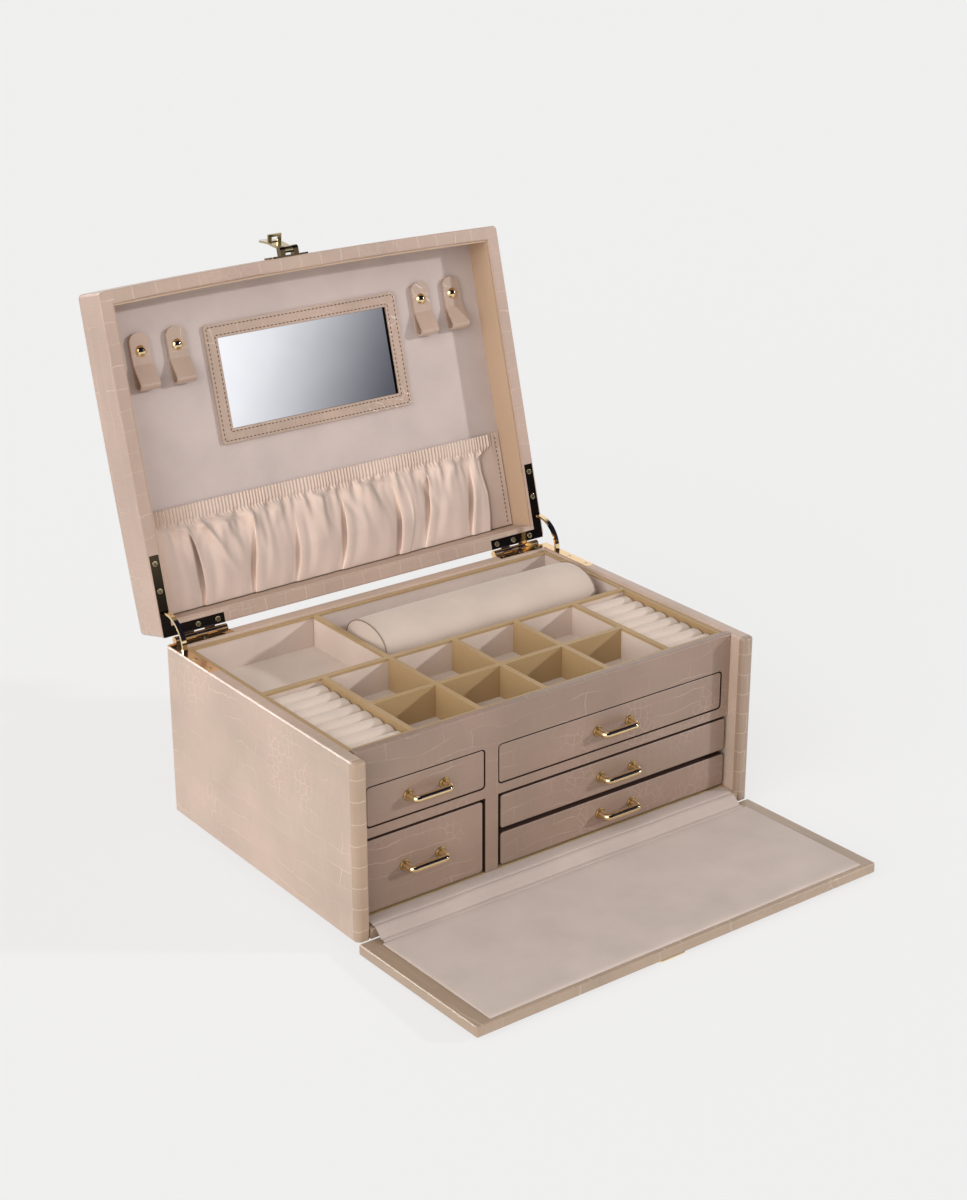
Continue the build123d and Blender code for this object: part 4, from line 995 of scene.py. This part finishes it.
def stitches(start, end, pitch=3.1, length=1.9, width=0.8, height=0.3):
    """Points of a run of stitches from start to end, places (across, up, deep) on the lid: a half round
    arch over each stitch's length, flat towards its ends."""
    start, end = np.array(start, float), np.array(end, float)
    span = np.linalg.norm(end - start)
    forward = (end - start) / span
    sideways = np.array([-forward[1], forward[0], 0.0])
    count = int(span / pitch)
    middle = start + forward * (np.arange(count) + 0.5)[:, None] * (span / count)
    t = np.linspace(-1, 1, stitch_side)[:, None]
    angle = np.linspace(0, np.pi, stitch_side)[None, :]
    full = np.sqrt(1 - 0.85 * t**2)
    beside, out = full * np.cos(angle) * width / 2, full * np.sin(angle) * height
    along = np.broadcast_to(t * length / 2, out.shape)
    outward = np.array([0, 0, -1.0])
    local = along[..., None] * forward + beside[..., None] * sideways + out[..., None] * outward
    return (middle[:, None, None, :] + local).reshape(-1, stitch_side**2, 3)


def sewn_rectangle(half_width, low, high, deep):
    """Runs of stitches along the four sides of a rectangle on the lid."""
    corners = [(-half_width, low), (half_width, low), (half_width, high), (-half_width, high)]
    runs = [stitches((*a, deep), (*b, deep)) for a, b in zip(corners, corners[1:] + corners[:1])]
    return np.concatenate(runs)


frame_face, hem_face, hem_low, hem_high = 21.5, 21.8, 13.0, 78.0
runs = [sewn_rectangle(76.1, 115.7, 192.9, frame_face), sewn_rectangle(70.3, 121.5, 187.1, frame_face)]
runs += [stitches((x, hem_low, hem_face), (x, hem_high, hem_face)) for x in (145.0, -147.5)]
runs = np.concatenate(runs)
one_stitch = grid_faces(stitch_side, stitch_side)[:, ::-1]
first_points = stitch_side**2 * np.arange(len(runs))
stitch_faces = (one_stitch[None] + first_points[:, None, None]).reshape(-1, 4)
stitch_points = on_lid(runs[..., 0], runs[..., 1], runs[..., 2])
make_piece("lid_stitches", stitch_points, stitch_faces, thread, "lid")
print(len(runs), "stitches")

# %% [markdown]
# ## Cross-slotted screws
# Each hinge leaf is held by five small brass screws with a cross slot. The heads stand
# almost flush, because the two leaves close on each other. A head is a turned profile.
# A slot cut into it would take many faces, so the slot is two bars set into its top,
# coloured dark as painted shade of the slot.

# %% Make the screws
head_radii = np.array([0.02, 0.8, 1.4, 1.75, 1.9, 1.9])
head_heights = np.array([0.036, 0.034, 0.027, 0.016, 0.004, -0.1])
head_sides, bar_corners = 18, 8


def screw_points():
    """One head as (x, y, height): rings of a low dome, then the two bars of the slot."""
    angle = np.linspace(0, 2 * np.pi, head_sides, endpoint=False)[None, :]
    radius, height = head_radii[:, None], head_heights[:, None]
    dome = np.broadcast_arrays(radius * np.cos(angle), radius * np.sin(angle), height)
    half_length, half_width, bar_top, bar_depth = 1.25, 0.2, 0.04, 0.3
    corners = np.array([[-1, -1, 0], [1, -1, 0], [1, 1, 0], [-1, 1, 0]])
    bar = corners * [half_length, half_width, 0] + [0, 0, bar_top]
    box = np.concatenate([bar, bar - [0, 0, bar_depth]])
    turns = [(math.cos(slant), math.sin(slant)) for slant in (math.pi / 4, 3 * math.pi / 4)]
    bars = [box @ np.array([[a, b, 0], [-b, a, 0], [0, 0, 1]]) for a, b in turns]
    return np.concatenate([np.stack(dome, -1).reshape(-1, 3), *bars])


def screw_faces(count, points):
    """Faces of all heads, and which of them belong to a slot."""
    dome = grid_faces(len(head_radii), head_sides, round_columns=True)
    box = np.array([[0, 1, 2, 3], [0, 4, 5, 1], [1, 5, 6, 2], [2, 6, 7, 3], [3, 7, 4, 0]])
    first_bar = len(head_radii) * head_sides
    one = np.concatenate([dome, box + first_bar, box + first_bar + bar_corners])
    slot = np.arange(len(one)) >= len(dome)
    return (one[None] + points * np.arange(count)[:, None, None]).reshape(-1, 4), np.tile(slot, count)


head = screw_points()
side = np.repeat([-1.0, 1.0], 5)
screw_x = side * np.tile([155.25, 155.25, 117.0, 132.0, 147.0], 2)
screw_y = np.tile([-52.7, -34.2, -6.65, -6.65, -6.65], 2)
faces, slotted = screw_faces(len(screw_x), len(head))
x, y = screw_x[:, None] + head[None, :, 0], screw_y[:, None] + head[None, :, 1]
height = np.broadcast_to(head[None, :, 2], x.shape)
base_leaf_top, lid_leaf_face = 127.55, -0.05
base_screws = np.stack([x, lid_axis_y + y, base_leaf_top + height], -1)
lid_screws = on_lid(x, -y - lid_edge_gap, lid_leaf_face - height)
for name, body, points, turned_over in (
    ("base_hinge_screws", "carcass", base_screws, False),
    ("lid_hinge_screws", "lid", lid_screws, True),
):
    turned = faces[:, ::-1] if turned_over else faces
    screws = make_piece(name + "_slotted", points, turned, pale_brass, body, [name])
    # Painted shade: the slot bars are coloured dark as the shade inside the cross slot.
    screws.data.materials.append(painted_slot_shade)
    screws.data.polygons.foreach_set("material_index", slotted.astype(np.int32))
    screws.data.update()

# %% [markdown]
# ## Lights
# The light is a soft studio: a key from the front right that draws gentle shadows in
# the lid and tray, and a broad soft light from the left. Both are distant lights, so
# they fall alike on every piece, also when it moves.


# %% Lights
def make_light(name, direction, strength, angle, colour):
    """Distant soft light that comes from the given direction."""
    lamp = bpy.data.lights.new(name, "SUN")
    lamp.energy, lamp.angle, lamp.color = strength, math.radians(angle), colour
    holder = bpy.data.objects.new(name, lamp)
    holder.rotation_euler = Vector(direction).to_track_quat("Z", "Y").to_euler()
    holder.location = Vector(direction) * 2
    bpy.context.scene.collection.objects.link(holder)


make_light("key_light", (0.759, -0.58, 0.34), 1.4, 3.0, (0.96, 0.97, 1.0))
make_light("left_light", (-0.86, -0.3, 0.42), 2.0, 60.0, (1.0, 0.985, 0.97))
print("lights ready")

# %% [markdown]
# ## Floor
# The box stands on a seamless white sweep. A floor that glows a little stays white
# under the box's soft shadow, as it does in a studio.

# %% Floor
bpy.ops.mesh.primitive_plane_add(size=24)
floor = bpy.context.object
floor.name = "floor"
floor_material, _, floor_shader, _, _ = new_material("floor", Roughness=1.0, Specular_IOR_Level=0.0)
floor_shader.inputs["Base Color"].default_value = (0.23, 0.23, 0.23, 1)
floor_shader.inputs["Emission Color"].default_value = (1, 1, 1, 1)
floor_shader.inputs["Emission Strength"].default_value = 0.675
floor.data.materials.append(floor_material)
print("floor ready")

# %% [markdown]
# ## Room
# Pale light comes from all round. Polished metal needs something dark to reflect, so in
# reflections only, the room in front is dark, with bright light overhead and behind, one
# white card at the right and one small lamp that puts a glint on the brass.

# %% Room
world = bpy.data.worlds.new("studio")
bpy.context.scene.world = world
world.use_nodes = True
sky = world.node_tree
heading = sky.nodes.new("ShaderNodeTexCoord").outputs["Generated"]
aim = add_node(sky, "SeparateXYZ", [heading]).outputs
overhead = ramp(sky, aim[2], 0.93, 0.98, 0.0, 0.8)
behind = ramp(sky, aim[1], 0.1, 0.5)
slant = calc(sky, "MULTIPLY_ADD", aim[0], 0.9, calc(sky, "MULTIPLY", aim[2], -0.45))
card = calc(sky, "MULTIPLY", ramp(sky, slant, 0.348, 0.43, 1.0, 0.08), ramp(sky, aim[2], 0.09, 0.14))
card = calc(sky, "MULTIPLY", card, ramp(sky, aim[2], 0.21, 0.26, 1.0, 0.0))
card = calc(sky, "MULTIPLY", card, ramp(sky, aim[0], 0.34, 0.42))
lamp_direction = (-0.417, 0.784, 0.461)
towards_lamp = add_node(sky, "VectorMath", [heading, lamp_direction], operation="DOT_PRODUCT")
glint = ramp(sky, towards_lamp.outputs["Value"], 0.955, 0.985, 0.0, 13.0)
bright = calc(sky, "ADD", calc(sky, "MAXIMUM", calc(sky, "MAXIMUM", overhead, behind), card), glint)
path = sky.nodes.new("ShaderNodeLightPath").outputs
shown = mix_colour(sky, 1.0, bright, (0.012, 0.012, 0.035, 1), "ADD")
soft = mix_colour(sky, path["Is Glossy Ray"], (0.44, 0.425, 0.405, 1), shown)
sky.links.new(soft, sky.nodes["Background"].inputs["Color"])
print("room ready")

# %% [markdown]
# ## Camera
# A long lens from above the front left corner, as in a product photograph, keeps the
# box's edges nearly parallel.

# %% Camera
lens = bpy.data.cameras.new("camera")
lens.lens, lens.sensor_width, lens.sensor_fit = 67.18, 36.0, "AUTO"
lens.clip_end = 50
camera = bpy.data.objects.new("camera", lens)
camera.location = Vector((-804.2, -1094.0, 709.8)) * mm
camera.rotation_euler = (math.radians(67.83), 0.0, math.radians(-36.92))
bpy.context.scene.collection.objects.link(camera)
bpy.context.scene.camera = camera
bpy.context.scene.view_settings.view_transform = "Standard"
print("camera at", [round(v / mm) for v in camera.location], "mm")
